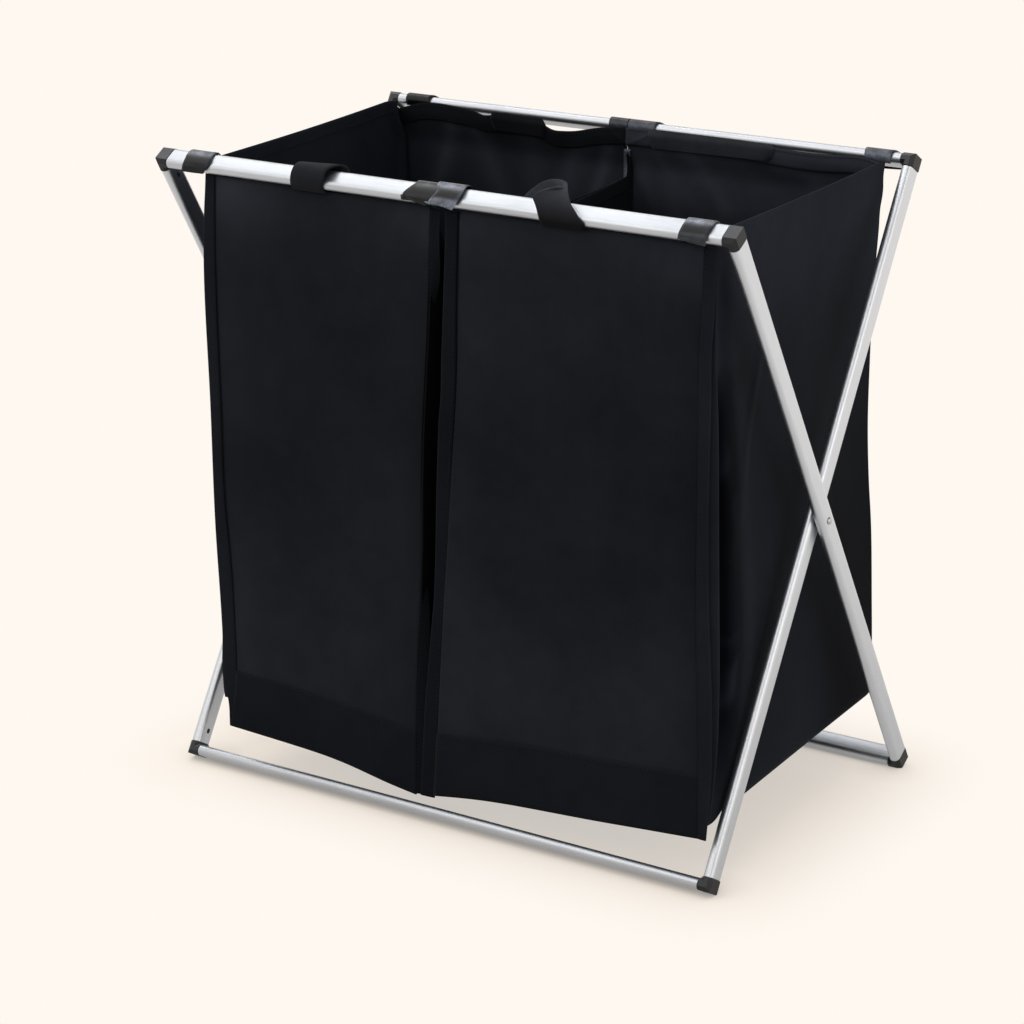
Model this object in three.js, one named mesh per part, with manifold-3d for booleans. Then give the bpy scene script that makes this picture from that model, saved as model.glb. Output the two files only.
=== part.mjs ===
// Laundry hamper: a folding scissor frame of flat oval tube that carries two fabric bags.
// Millimetres, +Z up. X runs along the rails, -Y is the front and the floor is z = 0.
import * as THREE from "three";
import { mergeVertices } from "three/addons/utils/BufferGeometryUtils.js";
import Module from "manifold-3d";

const wasm = await Module();
wasm.setup();

// Frame, driving dimensions
const openHeight = 560; // bottom rail centre to top rail centre
const openDepth = 337; // front rail centre to back rail centre
const outerWidth = 570.6; // centre to centre of the outer frame's legs
const tubeDepth = 20; // flat oval tube, across its flat sides' length
const tubeWidth = 10; // flat oval tube, between its flat sides
const tubeWall = 1;
const seatGap = 0.3; // between faces that touch on the real hamper
const cutOverrun = 2; // how far a cutter runs past the face that it cuts

// Moulded corner elbows
const elbowProud = 0.4; // how far an elbow stands out from the tube all round
const elbowChamfer = 3.4; // on the four long edges of its section
const elbowReach = 7; // rail or leg centreline to the end of the collar
const collarBevel = 0.5;
const tongueLength = 26; // plug inside each tube
const tongueTip = 3; // tapered lead-in at its end
const tipDraft = 0.8; // how much the tip narrows on each side
const grooveDepth = 0.8; // two grooves leave three crush ribs on each wide face
const ribShare = 0.2; // middle rib, of the face's flat part
const grooveShare = 0.26; // each groove, of the same
const snapPlace = 19; // corner to the snap stud, along the leg
const snapLength = 4.5;
const snapWidth = 3;
const snapProud = 0.5; // stud past the tube's outer face
const fingerLength = 15; // sprung finger that carries the stud
const fingerWidth = 7;
const fingerThickness = 1.8;
const fingerSlit = 0.9;
const footFlat = 0.5; // depth of the flat that a bottom corner rests on

// Scissor pivots
const legGap = 1.2; // between an outer and an inner leg
const washerThickness = 0.6;
const washerRadius = 6.5;
const rivetRadius = 2;
const rivetHeadRadius = 3.4;
const rivetHeadHeight = 1.5;

// Bags
const bagGap = 4; // between the two bags
const frontSplit = 7.5; // middle of that gap at the front, right of the hamper's middle
const backSplit = -10; // the same at the back
const frontLeftRoom = 28.6; // inner frame's leg to a bag's outer edge, at the four top corners
const frontRightRoom = 1.6;
const backLeftRoom = 4.1;
const backRightRoom = 21.1;
const panelThickness = 1.6;
const finWidth = 11; // bound seam along a panel's two upright edges
const finProud = 0.5;
const hemHeight = 25; // turned-over hem inside the top edge
const hemProud = 0.4;
const bandHeight = 62; // darker strip along a front panel's foot
const bandProud = 0.3;
const hangRoom = 0.6; // a tab's underside to a panel's top edge
const frontFoot = 23.4; // floor to the lowest corner of a front panel
const backFoot = 48.4;
const leftPanelRise = 19.3; // how much higher the left front panel's outer foot corner hangs
const rightPanelRise = 27;
const footLean = 22; // how far the inner edges lean to the left at the foot
const footTuck = 8; // how far the left bag's outer edge leans to the right there
const gussetThickness = 1.6;
const gussetRadius = 20; // fold between a gusset's side and its bottom
const leftFloorRise = 24; // outer foot corner of the left front panel to its gusset's bottom
const rightFloorRise = 6;
const middleFloorRise = 22; // the same at the two inner foot corners
const wallRise = 9; // an outer side wall's top above the panels' top
const wallStart = 16; // where that rise is reached, from the panels
const dividerSag = 30; // an inner side wall's top below the panels' top

// Tabs that close round the top rails
const tabThickness = 1.2;
const tabWidth = 28.4;
const tabSplit = 0.6; // between the two tabs that meet in the middle
const frontMiddleShift = -11; // split of a middle pair, right of the split between the bags
const backMiddleShift = 0;
const frontLeftShift = -3; // centre of an outermost tab, right of its bag's corner
const frontRightShift = -14;
const backLeftShift = 20.5;
const backRightShift = -7;

// Handles that loop over the front rail
const handleWidth = 41;
const handleThickness = 2;
const handleClearance = 0.5; // strap to the round path that the turning rail sweeps
const handleDrop = 26; // rail centre to where the strap meets the panel inside
const handleFoot = 14; // sewn length below that
const loopPower = 2; // how narrow the slack part of a loop is
const handleTurn = -0.17; // radians past the inner side where the strap leaves its arc
const handles = [
  { name: "left_front_handle", bag: -1, shift: -4, slant: 22, slack: 2 },
  { name: "right_front_handle", bag: 1, shift: -16, slant: -26, slack: 16 },
];

// Handles that lie along the back panels, inside, and are sewn to the hem at both ends
const hemStrapWidth = 19;
const hemStrapDrop = 1.5; // back panel's top edge to the strap
const hemStrapSeat = 12; // sewn length at each end
const hemStrapBow = 5; // how far the middle stands off the hem
const hemStrapFacets = 12;
const hemStraps = [
  { name: "left_back_handle", bag: -1, shift: 10.5, length: 58 },
  { name: "right_back_handle", bag: 1, shift: -40, length: 127 },
];

// Smoothness
const weldDistance = 0.0001; // corners nearer than this are one corner
const noseFacets = 16; // round nose of a tube, per half turn
const smallFacets = 6; // plugs, studs and their windows, per half turn
const roundFacets = 20; // rivets, washers and holes, per turn
const tabFacets = 12; // tabs, per half turn
const foldFacets = 5; // gusset folds, per quarter turn
const strapFacets = 18; // arc of a handle

// Worked out from the above
const tilt = Math.atan2(openDepth, openHeight);
const legSpan = Math.hypot(openDepth, openHeight);
const innerWidth = outerWidth - (tubeWidth + legGap) - (tubeWidth + legGap);
const elbowDepth = tubeDepth + elbowProud + elbowProud;
const elbowWidth = tubeWidth + elbowProud + elbowProud;
const flatHalf = (tubeDepth - tubeWidth) / 2; // half the flat part of a tube's wide side
const railHeight = elbowDrop() - footFlat;
const topRailHeight = railHeight + openHeight;
const pivotHeight = railHeight + openHeight / 2;
const panelInner = openDepth / 2 + seatGap; // middle of the hamper to a panel's inner face
const panelOuter = panelInner + panelThickness;
const gussetEnd = panelInner - hemProud - seatGap;
const panelTop = topRailHeight - tabDrop() - hangRoom;
const frontLength = panelTop - frontFoot; // top edge to the lowest corner
const backLength = panelTop - backFoot;
const fullTurn = Math.PI + Math.PI;

const colours = {
  aluminium: new THREE.MeshStandardMaterial({ color: 0xc9cacc, roughness: 0.32, metalness: 0.9 }),
  elbow: new THREE.MeshStandardMaterial({ color: 0x2c2d2f, roughness: 0.55, metalness: 0 }),
  rivet: new THREE.MeshStandardMaterial({ color: 0xb4b5b8, roughness: 0.3, metalness: 0.9 }),
  washer: new THREE.MeshStandardMaterial({ color: 0x3a3b3d, roughness: 0.6, metalness: 0 }),
  fabric: new THREE.MeshStandardMaterial({ color: 0x1d1e21, roughness: 0.85, metalness: 0 }),
  tab: new THREE.MeshStandardMaterial({ color: 0x26272a, roughness: 0.42, metalness: 0 }),
  strap: new THREE.MeshStandardMaterial({ color: 0x2a2b2e, roughness: 0.8, metalness: 0 }),
};

const hamper = new THREE.Group();

// Closed geometry to a solid that can be cut or joined
function toSolid(geometry) {
  const bare = geometry.clone();
  bare.deleteAttribute("normal");
  bare.deleteAttribute("uv");
  const merged = mergeVertices(bare, weldDistance);
  return new wasm.Manifold(
    new wasm.Mesh({
      numProp: 3,
      vertProperties: new Float32Array(merged.attributes.position.array),
      triVerts: new Uint32Array(merged.index.array),
    }),
  );
}

// Solid back to a geometry with flat faces
function toGeometry(solid) {
  const mesh = solid.getMesh();
  const geometry = new THREE.BufferGeometry();
  geometry.setAttribute("position", new THREE.BufferAttribute(mesh.vertProperties, 3));
  geometry.setIndex(new THREE.BufferAttribute(mesh.triVerts, 1));
  geometry.computeVertexNormals();
  return geometry;
}

// Box between two corners
function block(low, high) {
  const box = new THREE.BoxGeometry(high[0] - low[0], high[1] - low[1], high[2] - low[2]);
  const middle = [0, 1, 2].map((axis) => (low[axis] + high[axis]) / 2);
  return toSolid(box.translate(...middle));
}

// Cylinder along X, centred on the origin
function crossPin(radius, length) {
  const pin = new THREE.CylinderGeometry(radius, radius, length, roundFacets);
  return toSolid(pin.rotateZ(Math.PI / 2));
}

// Flat oval: width along the outline's x, depth along its y
function ovalOutline(depth, width) {
  const radius = width / 2;
  const reach = depth / 2 - radius;
  const outline = new THREE.Shape();
  outline.absarc(0, reach, radius, 0, Math.PI, false);
  outline.absarc(0, -reach, radius, Math.PI, fullTurn, false);
  outline.closePath();
  return outline;
}

// Prism of an outline, centred on its length along Z. facets are for each half turn.
function prism(outline, length, facets) {
  const options = { depth: length, bevelEnabled: false, curveSegments: facets / 2 };
  return new THREE.ExtrudeGeometry(outline, options).translate(0, 0, -length / 2);
}

// Small prism that runs along X, with its outline's depth along Z
function crossPrism(outline, from, to) {
  const along = prism(outline, Math.abs(to - from), smallFacets);
  const turned = along.rotateX(Math.PI / 2).rotateZ(Math.PI / 2);
  return turned.translate((from + to) / 2, 0, 0);
}

// Triangles, each of three points, to a closed geometry that faces out
function closedGeometry(triangles) {
  let volume = 0;
  for (const [a, b, c] of triangles) {
    volume += a.dot(b.clone().cross(c));
  }
  const facing = volume < 0 ? triangles.map(([a, b, c]) => [a, c, b]) : triangles;
  const numbers = facing.flatMap((corners) => corners.flatMap((corner) => corner.toArray()));
  const geometry = new THREE.BufferGeometry();
  geometry.setAttribute("position", new THREE.Float32BufferAttribute(numbers, 3));
  const welded = mergeVertices(geometry, weldDistance);
  welded.computeVertexNormals();
  return welded;
}

// Convex rings of points, one after another, skinned and capped at both ends
function loft(rings) {
  const count = rings[0].length;
  const first = rings[0];
  const last = rings[rings.length - 1];
  const triangles = [];
  for (let ring = 0; ring + 1 < rings.length; ring += 1) {
    for (let i = 0; i < count; i += 1) {
      const next = (i + 1) % count;
      triangles.push([rings[ring][i], rings[ring][next], rings[ring + 1][next]]);
      triangles.push([rings[ring][i], rings[ring + 1][next], rings[ring + 1][i]]);
    }
  }
  for (let i = 1; i + 1 < count; i += 1) {
    triangles.push([first[0], first[i + 1], first[i]]);
    triangles.push([last[0], last[i], last[i + 1]]);
  }
  return closedGeometry(triangles);
}

// Thick sheet between two grids of points of equal size, closed along its four edges
function sheet(upper, lower) {
  const rows = upper.length - 1;
  const columns = upper[0].length - 1;
  const triangles = [];
  const quad = (a, b, c, d) => triangles.push([a, b, c], [a, c, d]);
  for (let i = 0; i < rows; i += 1) {
    for (let j = 0; j < columns; j += 1) {
      quad(upper[i][j], upper[i + 1][j], upper[i + 1][j + 1], upper[i][j + 1]);
      quad(lower[i][j], lower[i][j + 1], lower[i + 1][j + 1], lower[i + 1][j]);
    }
    quad(upper[i][0], lower[i][0], lower[i + 1][0], upper[i + 1][0]);
    quad(upper[i + 1][columns], lower[i + 1][columns], lower[i][columns], upper[i][columns]);
  }
  for (let j = 0; j < columns; j += 1) {
    quad(upper[0][j + 1], lower[0][j + 1], lower[0][j], upper[0][j]);
    quad(upper[rows][j], lower[rows][j], lower[rows][j + 1], upper[rows][j + 1]);
  }
  return closedGeometry(triangles);
}

function sideName(side) {
  return side < 0 ? "left" : "right";
}

function add(parent, name, geometry, material) {
  const mesh = new THREE.Mesh(geometry, material);
  mesh.name = name;
  parent.add(mesh);
  return mesh;
}

// Corners of an elbow's section, as [across the frame, along its depth]
function elbowSection(inset) {
  const halfWidth = elbowWidth / 2 - inset;
  const halfDepth = elbowDepth / 2 - inset;
  return [
    [halfWidth, halfDepth - elbowChamfer],
    [halfWidth - elbowChamfer, halfDepth],
    [elbowChamfer - halfWidth, halfDepth],
    [-halfWidth, halfDepth - elbowChamfer],
    [-halfWidth, elbowChamfer - halfDepth],
    [elbowChamfer - halfWidth, -halfDepth],
    [halfWidth - elbowChamfer, -halfDepth],
    [halfWidth, elbowChamfer - halfDepth],
  ];
}

// Rail centre to the lowest corner of an elbow's section on the tilted frame
function elbowDrop() {
  const heights = elbowSection(0).map(
    ([across, deep]) => across * Math.cos(tilt) + deep * Math.sin(tilt),
  );
  return Math.max(...heights);
}

// Top rail centre to a closed tab's underside, above the outer face of a panel's bound edge
function tabDrop() {
  const radius = tubeWidth / 2 + seatGap + tabThickness;
  const lowestLine = flatHalf * Math.cos(tilt); // outward from the rail's centre
  const outward = panelOuter + finProud - openDepth / 2;
  const beside = Math.min(Math.abs(lowestLine - outward), radius);
  return flatHalf * Math.sin(tilt) + Math.sqrt(radius ** 2 - beside ** 2);
}

// Hollow tube along Z
function tube(length) {
  const outline = ovalOutline(tubeDepth, tubeWidth);
  outline.holes.push(ovalOutline(tubeDepth - 2 * tubeWall, tubeWidth - 2 * tubeWall));
  return prism(outline, length, noseFacets);
}

// Rail of a frame: the same tube laid along X, its flat sides square to the frame's plane
function rail(width) {
  return tube(width - 2 * (elbowReach + seatGap)).rotateY(Math.PI / 2);
}

// Leg with its pivot hole and an oval hole near each end for the elbow's stud.
// inward is the X direction that its inner flat side faces.
function leg(inward) {
  let solid = toSolid(tube(legSpan - 2 * (elbowReach + seatGap)));
  solid = solid.subtract(crossPin(rivetRadius + seatGap, tubeWidth + 2 * cutOverrun));
  const near = inward * (tubeWidth / 2 - tubeWall - cutOverrun);
  const far = inward * (tubeWidth / 2 + cutOverrun);
  const window = crossPrism(ovalOutline(snapLength + 2 * seatGap, snapWidth + 2 * seatGap), near, far);
  for (const end of [-1, 1]) {
    const place = end * (legSpan / 2 - snapPlace);
    solid = solid.subtract(toSolid(window).translate([0, 0, place]));
  }
  return toGeometry(solid);
}

// Plug section: a flat oval with two grooves on each wide face, which leave three ribs
function tongueOutline() {
  const radius = tubeWidth / 2 - tubeWall - seatGap;
  const floor = radius - grooveDepth;
  const grooveHalf = grooveShare * flatHalf;
  const grooveMiddle = (ribShare + grooveShare) * flatHalf;
  const points = [];
  for (const side of [1, -1]) {
    for (let step = 0; step <= smallFacets; step += 1) {
      const angle = (side > 0 ? 0 : Math.PI) + (Math.PI * step) / smallFacets;
      const place = side * flatHalf + radius * Math.sin(angle);
      points.push(new THREE.Vector2(radius * Math.cos(angle), place));
    }
    for (const groove of [1, -1]) {
      const upper = side * (groove * grooveMiddle + grooveHalf);
      const lower = side * (groove * grooveMiddle - grooveHalf);
      points.push(new THREE.Vector2(-side * radius, upper));
      points.push(new THREE.Vector2(-side * floor, upper));
      points.push(new THREE.Vector2(-side * floor, lower));
      points.push(new THREE.Vector2(-side * radius, lower));
    }
  }
  return points;
}

// Plug along -Z, from inside the collar to its tapered tip
function tongue() {
  const tip = -elbowReach - tongueLength;
  const root = cutOverrun - elbowReach;
  const outline = new THREE.Shape(tongueOutline());
  const body = prism(outline, root - tip, smallFacets).translate(0, 0, (root + tip) / 2);
  const halfWidth = tubeWidth / 2 - tubeWall - seatGap;
  const halfDepth = tubeDepth / 2 - tubeWall - seatGap;
  const sleeveRing = (z, draft) => [
    new THREE.Vector3(halfWidth - draft, halfDepth - draft, z),
    new THREE.Vector3(halfWidth - draft, draft - halfDepth, z),
    new THREE.Vector3(draft - halfWidth, draft - halfDepth, z),
    new THREE.Vector3(draft - halfWidth, halfDepth - draft, z),
  ];
  const sleeve = [sleeveRing(root, 0), sleeveRing(tip + tongueTip, 0), sleeveRing(tip, tipDraft)];
  return toSolid(body).intersect(toSolid(loft(sleeve)));
}

// Corner elbow for the right-hand top corner: rail arm to -X, leg arm to -Z.
// It is alike front and back, so half turns fit it to the other three corners.
function elbowSolid() {
  const railRing = (x, inset) =>
    elbowSection(inset).map(([across, deep]) => new THREE.Vector3(x, deep, across));
  const legRing = (z, inset) =>
    elbowSection(inset).map(([across, deep]) => new THREE.Vector3(across, deep, z));
  const mitre = elbowSection(0).map(([across, deep]) => new THREE.Vector3(across, deep, across));
  const rings = [
    railRing(-elbowReach, collarBevel),
    railRing(collarBevel - elbowReach, 0),
    mitre,
    legRing(collarBevel - elbowReach, 0),
    legRing(-elbowReach, collarBevel),
  ];
  const plug = tongue();
  const plugFace = tubeWidth / 2 - tubeWall - seatGap;
  const studRoot = fingerThickness / 2 - plugFace;
  const studEnd = -tubeWidth / 2 - snapProud;
  const stud = toSolid(crossPrism(ovalOutline(snapLength, snapWidth), studRoot, studEnd));
  return toSolid(loft(rings))
    .add(plug.rotate([0, 90, 0]))
    .add(cutFinger(plug))
    .add(stud.translate([0, 0, -snapPlace]));
}

// Pocket and slits that free the sprung finger under the stud
function cutFinger(plug) {
  const face = tubeWidth / 2 - tubeWall - seatGap;
  const back = fingerThickness - face;
  const high = fingerLength / 2 - snapPlace;
  const low = high - fingerLength;
  const half = fingerWidth / 2;
  const pocket = block([back, -half - fingerSlit, low], [face + cutOverrun, half + fingerSlit, high]);
  let freed = plug.subtract(pocket);
  for (const side of [-1, 1]) {
    const middle = side * (half + fingerSlit / 2);
    const near = [-face - cutOverrun, middle - fingerSlit / 2, low];
    freed = freed.subtract(block(near, [face + cutOverrun, middle + fingerSlit / 2, high]));
  }
  const end = [-face - cutOverrun, -half - fingerSlit, low];
  return freed.subtract(block(end, [face + cutOverrun, half + fingerSlit, low + fingerSlit]));
}

// Half turns that take the right-hand top elbow to each corner
const corners = [
  { name: "top_right", x: 1, z: 1, turn: [0, 0, 0] },
  { name: "top_left", x: -1, z: 1, turn: [0, 0, 180] },
  { name: "bottom_right", x: 1, z: -1, turn: [180, 0, 0] },
  { name: "bottom_left", x: -1, z: -1, turn: [0, 180, 0] },
];

// One rectangular frame with its centre at the pivot. lean is its tilt about X.
function frame(prefix, width, lean, topName, bottomName) {
  const group = new THREE.Group();
  group.rotation.x = lean;
  group.position.z = pivotHeight;
  add(group, topName, rail(width), colours.aluminium).position.z = legSpan / 2;
  add(group, bottomName, rail(width), colours.aluminium).position.z = -legSpan / 2;
  for (const side of [-1, 1]) {
    const name = `${sideName(side)}_${prefix}_leg`;
    add(group, name, leg(-side), colours.aluminium).position.x = (side * width) / 2;
  }
  for (const corner of corners) {
    const place = [(corner.x * width) / 2, 0, (corner.z * legSpan) / 2];
    let solid = elbowSolid().rotate(corner.turn).translate(place);
    if (corner.z < 0) {
      solid = restOnFloor(solid, lean);
    }
    add(group, `${prefix}_elbow_${corner.name}`, toGeometry(solid), colours.elbow);
  }
  hamper.add(group);
  return group;
}

// Cut a bottom elbow flat where the floor meets it
function restOnFloor(solid, lean) {
  const reach = outerWidth + cutOverrun;
  const degrees = THREE.MathUtils.radToDeg(lean);
  const floor = block([-reach, -reach, -reach], [reach, reach, 0])
    .translate([0, 0, -pivotHeight])
    .rotate([-degrees, 0, 0]);
  return solid.subtract(floor);
}

// Rivet through an outer and an inner leg, and the washer between them
function pivot(side, name) {
  const outerFace = (outerWidth + tubeWidth) / 2 + seatGap;
  const innerFace = (innerWidth - tubeWidth) / 2 - seatGap;
  const dome = (share) => [
    rivetHeadRadius * Math.cos((share * Math.PI) / 2),
    rivetHeadHeight * Math.sin((share * Math.PI) / 2),
  ];
  const domeShares = [0, 0.35, 0.7, 0.9];
  const profile = [[0, innerFace - rivetHeadHeight]];
  for (const share of domeShares.slice().reverse()) {
    profile.push([dome(share)[0], innerFace - dome(share)[1]]);
  }
  profile.push([rivetRadius, innerFace], [rivetRadius, outerFace]);
  for (const share of domeShares) {
    profile.push([dome(share)[0], outerFace + dome(share)[1]]);
  }
  profile.push([0, outerFace + rivetHeadHeight]);
  const points = profile.map(([radius, along]) => new THREE.Vector2(radius, along));
  const rivet = new THREE.LatheGeometry(points, roundFacets).rotateZ(-Math.PI / 2);
  const turned = side > 0 ? rivet : rivet.rotateZ(Math.PI);
  add(hamper, `${name}_pivot_rivet`, turned, colours.rivet).position.z = pivotHeight;

  const disc = new THREE.Shape().absarc(0, 0, washerRadius, 0, fullTurn, false);
  disc.holes.push(new THREE.Path().absarc(0, 0, rivetRadius + seatGap, 0, fullTurn, true));
  const washer = prism(disc, washerThickness, roundFacets / 2).rotateY(Math.PI / 2);
  const middle = (side * (outerWidth - tubeWidth - legGap)) / 2;
  add(hamper, `${name}_pivot_washer`, washer, colours.washer).position.set(middle, 0, pivotHeight);
}

// Bag corners at its top edge. row is -1 for the front and 1 for the back.
function bagEdges(bag, row) {
  const legFace = (innerWidth - tubeWidth) / 2;
  const split = row < 0 ? frontSplit : backSplit;
  if (bag < 0) {
    const room = row < 0 ? frontLeftRoom : backLeftRoom;
    return { left: room - legFace, right: split - bagGap / 2 };
  }
  const room = row < 0 ? frontRightRoom : backRightRoom;
  return { left: split + bagGap / 2, right: legFace - room };
}

// How far a bag's left and right edges lean at the foot of the front row, and the edges' length
function frontEdge(bag, side) {
  const inner = side !== bag;
  const tuck = bag < 0 ? footTuck : 0;
  const rise = bag < 0 ? leftPanelRise : rightPanelRise;
  return { lean: inner ? -footLean : tuck, length: inner ? frontLength : frontLength - rise };
}

// Four corners of a panel in its own plane, as [x, z]: top left, top right, foot right, foot left
function panelCorners(bag, row) {
  const top = bagEdges(bag, row);
  const foot = (side, x) => {
    const edge = frontEdge(bag, side);
    return row < 0 ? [x + edge.lean, panelTop - edge.length] : [x, panelTop - backLength];
  };
  return [[top.left, panelTop], [top.right, panelTop], foot(1, top.right), foot(-1, top.left)];
}

// Flat slab with four corners, between two distances from the middle of the hamper
function slab(outline, row, near, far) {
  const ring = (distance) => outline.map(([x, z]) => new THREE.Vector3(x, row * distance, z));
  return toSolid(loft([ring(near), ring(far)]));
}

// Point on the line between two [x, z] points, at a distance from the first
function along(from, to, distance) {
  const share = distance / Math.hypot(to[0] - from[0], to[1] - from[1]);
  return [from[0] + (to[0] - from[0]) * share, from[1] + (to[1] - from[1]) * share];
}

// Flat panel with its hem inside the top, bound seams down its edges and, in front, a foot band
function panel(bag, row) {
  const [topLeft, topRight, footRight, footLeft] = panelCorners(bag, row);
  const outside = panelOuter + finProud;
  const strip = (a, b, c, d, near, far) => slab([a, b, c, d], row, near, far);
  let solid = strip(topLeft, topRight, footRight, footLeft, panelInner, panelOuter);
  const hemRight = along(topRight, footRight, hemHeight);
  const hemLeft = along(topLeft, footLeft, hemHeight);
  solid = solid.add(strip(topLeft, topRight, hemRight, hemLeft, panelInner - hemProud, panelInner));
  const leftFinTop = along(topLeft, topRight, finWidth);
  const leftFinFoot = along(footLeft, footRight, finWidth);
  solid = solid.add(strip(topLeft, leftFinTop, leftFinFoot, footLeft, panelInner, outside));
  const rightFinTop = along(topRight, topLeft, finWidth);
  const rightFinFoot = along(footRight, footLeft, finWidth);
  solid = solid.add(strip(rightFinTop, topRight, footRight, rightFinFoot, panelInner, outside));
  if (row < 0) {
    const bandLeft = along(footLeft, topLeft, bandHeight);
    const bandRight = along(footRight, topRight, bandHeight);
    const face = panelOuter + bandProud;
    solid = solid.add(strip(bandLeft, bandRight, footRight, footLeft, panelInner, face));
  }
  return toGeometry(solid);
}

// U-shaped path of a gusset across its bag at one distance back, as points at height z.
// inset moves the path inward, for the inside face.
function gussetPath(bag, y, inset) {
  const share = (y + gussetEnd) / (gussetEnd + gussetEnd);
  const front = panelCorners(bag, -1);
  const back = panelCorners(bag, 1);
  const mixed = front.map(([x], i) => x + (back[i][0] - x) * share);
  const rise = Math.abs(y) > gussetEnd - wallStart ? 0 : wallRise;
  const height = (side) => (side === bag ? panelTop + rise : panelTop - dividerSag);
  const outerRise = bag < 0 ? leftFloorRise : rightFloorRise;
  const floorRise = (side) => (side === bag ? outerRise : middleFloorRise) + inset;
  const floor = (side) => panelTop - frontEdge(bag, side).length + floorRise(side);
  const at = (x, z) => new THREE.Vector3(x, y, z);
  const topLeft = at(mixed[0] + inset, height(-1));
  const topRight = at(mixed[1] - inset, height(1));
  const footRight = at(mixed[2] - inset, floor(1));
  const footLeft = at(mixed[3] + inset, floor(-1));
  const fold = (before, corner, after) => {
    const radius = gussetRadius - inset;
    const start = corner.clone().lerp(before, radius / corner.distanceTo(before));
    const end = corner.clone().lerp(after, radius / corner.distanceTo(after));
    return new THREE.QuadraticBezierCurve3(start, corner, end).getPoints(foldFacets);
  };
  const leftFold = fold(topLeft, footLeft, footRight);
  const rightFold = fold(footLeft, footRight, topRight);
  return [topLeft, ...leftFold, ...rightFold, topRight];
}

// One long strip that makes a bag's two side walls and its bottom
function gusset(bag) {
  const places = [-gussetEnd, wallStart - gussetEnd, gussetEnd - wallStart, gussetEnd];
  const outside = places.map((y) => gussetPath(bag, y, 0));
  const inside = places.map((y) => gussetPath(bag, y, gussetThickness));
  return sheet(outside, inside);
}

// Closed tab round a top rail, laid along X in its frame's group
function tab(group, name, middle) {
  const inner = seatGap + seatGap;
  const outer = inner + tabThickness + tabThickness;
  const outline = ovalOutline(tubeDepth + outer, tubeWidth + outer);
  outline.holes.push(ovalOutline(tubeDepth + inner, tubeWidth + inner));
  const ring = prism(outline, tabWidth, tabFacets).rotateY(Math.PI / 2);
  add(group, name, ring, colours.tab).position.set(middle, 0, legSpan / 2);
}

// The four tabs of one row
function tabs(group, row) {
  const rowName = row < 0 ? "front" : "back";
  const leftCorner = bagEdges(-1, row).left;
  const rightCorner = bagEdges(1, row).right;
  const split = row < 0 ? frontSplit + frontMiddleShift : backSplit + backMiddleShift;
  const half = (tabWidth + tabSplit) / 2;
  const leftShift = row < 0 ? frontLeftShift : backLeftShift;
  const rightShift = row < 0 ? frontRightShift : backRightShift;
  tab(group, `left_bag_${rowName}_left_tab`, leftCorner + leftShift);
  tab(group, `left_bag_${rowName}_right_tab`, split - half);
  tab(group, `right_bag_${rowName}_left_tab`, split + half);
  tab(group, `right_bag_${rowName}_right_tab`, rightCorner + rightShift);
}

// Strap that is sewn under the rail outside, loops over the rail and runs down the panel inside.
// Its path is drawn as [inward, up] from the rail's centre, clear of the turning rail.
function handle({ bag, shift, slant, slack }) {
  const sweep = tubeDepth / 2 + handleClearance;
  const outside = openDepth / 2 - panelOuter - seatGap;
  const inside = openDepth / 2 - gussetEnd;
  const start = fullTurn - Math.acos(outside / sweep);
  const path = [];
  for (let step = 0; step <= strapFacets; step += 1) {
    const angle = start + ((handleTurn - start) * step) / strapFacets;
    const slackHere = slack * Math.max(0, Math.sin(angle)) ** loopPower;
    const ring = (extra) => {
      const radius = sweep + slackHere + extra;
      return [radius * Math.cos(angle), radius * Math.sin(angle)];
    };
    path.push({ under: ring(0), over: ring(handleThickness) });
  }
  for (const drop of [handleDrop, handleDrop + handleFoot]) {
    path.push({ under: [inside, -drop], over: [inside + handleThickness, -drop] });
  }
  const edges = bagEdges(bag, -1);
  const middle = (edges.left + edges.right) / 2 + shift;
  const grid = (face) =>
    path.map((step, i) => {
      const [inward, up] = step[face];
      const centre = middle + (slant * i) / (path.length - 1);
      const y = inward - openDepth / 2;
      const z = topRailHeight + up;
      return [-1, 1].map((edge) => new THREE.Vector3(centre + (edge * handleWidth) / 2, y, z));
    });
  return sheet(grid("over"), grid("under"));
}

// Strap along the inside of a back hem: its two ends lie flat and its middle bows inward
function hemStrap({ bag, shift, length }) {
  const edges = bagEdges(bag, 1);
  const middle = (edges.left + edges.right) / 2 + shift;
  const top = panelTop - hemStrapDrop;
  const free = length / 2 - hemStrapSeat;
  const runs = Array.from({ length: hemStrapFacets + 1 }, (_, i) => {
    const turn = (i / hemStrapFacets) * fullTurn;
    const x = THREE.MathUtils.lerp(-free, free, i / hemStrapFacets);
    return [x, (hemStrapBow * (1 - Math.cos(turn))) / 2];
  });
  const path = [[-length / 2, 0], ...runs, [length / 2, 0]];
  const grid = (extra) =>
    path.map(([x, bow]) => {
      const y = gussetEnd - bow - extra;
      return [top, top - hemStrapWidth].map((z) => new THREE.Vector3(middle + x, y, z));
    });
  return sheet(grid(0), grid(handleThickness));
}

const outerFrame = frame("outer", outerWidth, tilt, "front_top_rail", "back_bottom_rail");
const innerFrame = frame("inner", innerWidth, -tilt, "back_top_rail", "front_bottom_rail");
tabs(outerFrame, -1);
tabs(innerFrame, 1);
for (const side of [-1, 1]) {
  pivot(side, sideName(side));
  add(hamper, `${sideName(side)}_bag_front`, panel(side, -1), colours.fabric);
  add(hamper, `${sideName(side)}_bag_back`, panel(side, 1), colours.fabric);
  add(hamper, `${sideName(side)}_bag_gusset`, gusset(side), colours.fabric);
}
for (const strap of handles) {
  add(hamper, strap.name, handle(strap), colours.strap);
}
for (const strap of hemStraps) {
  add(hamper, strap.name, hemStrap(strap), colours.strap);
}

export default hamper;
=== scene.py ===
import math

import bmesh
import bpy
import numpy as np
from mathutils import Matrix, Vector


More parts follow.
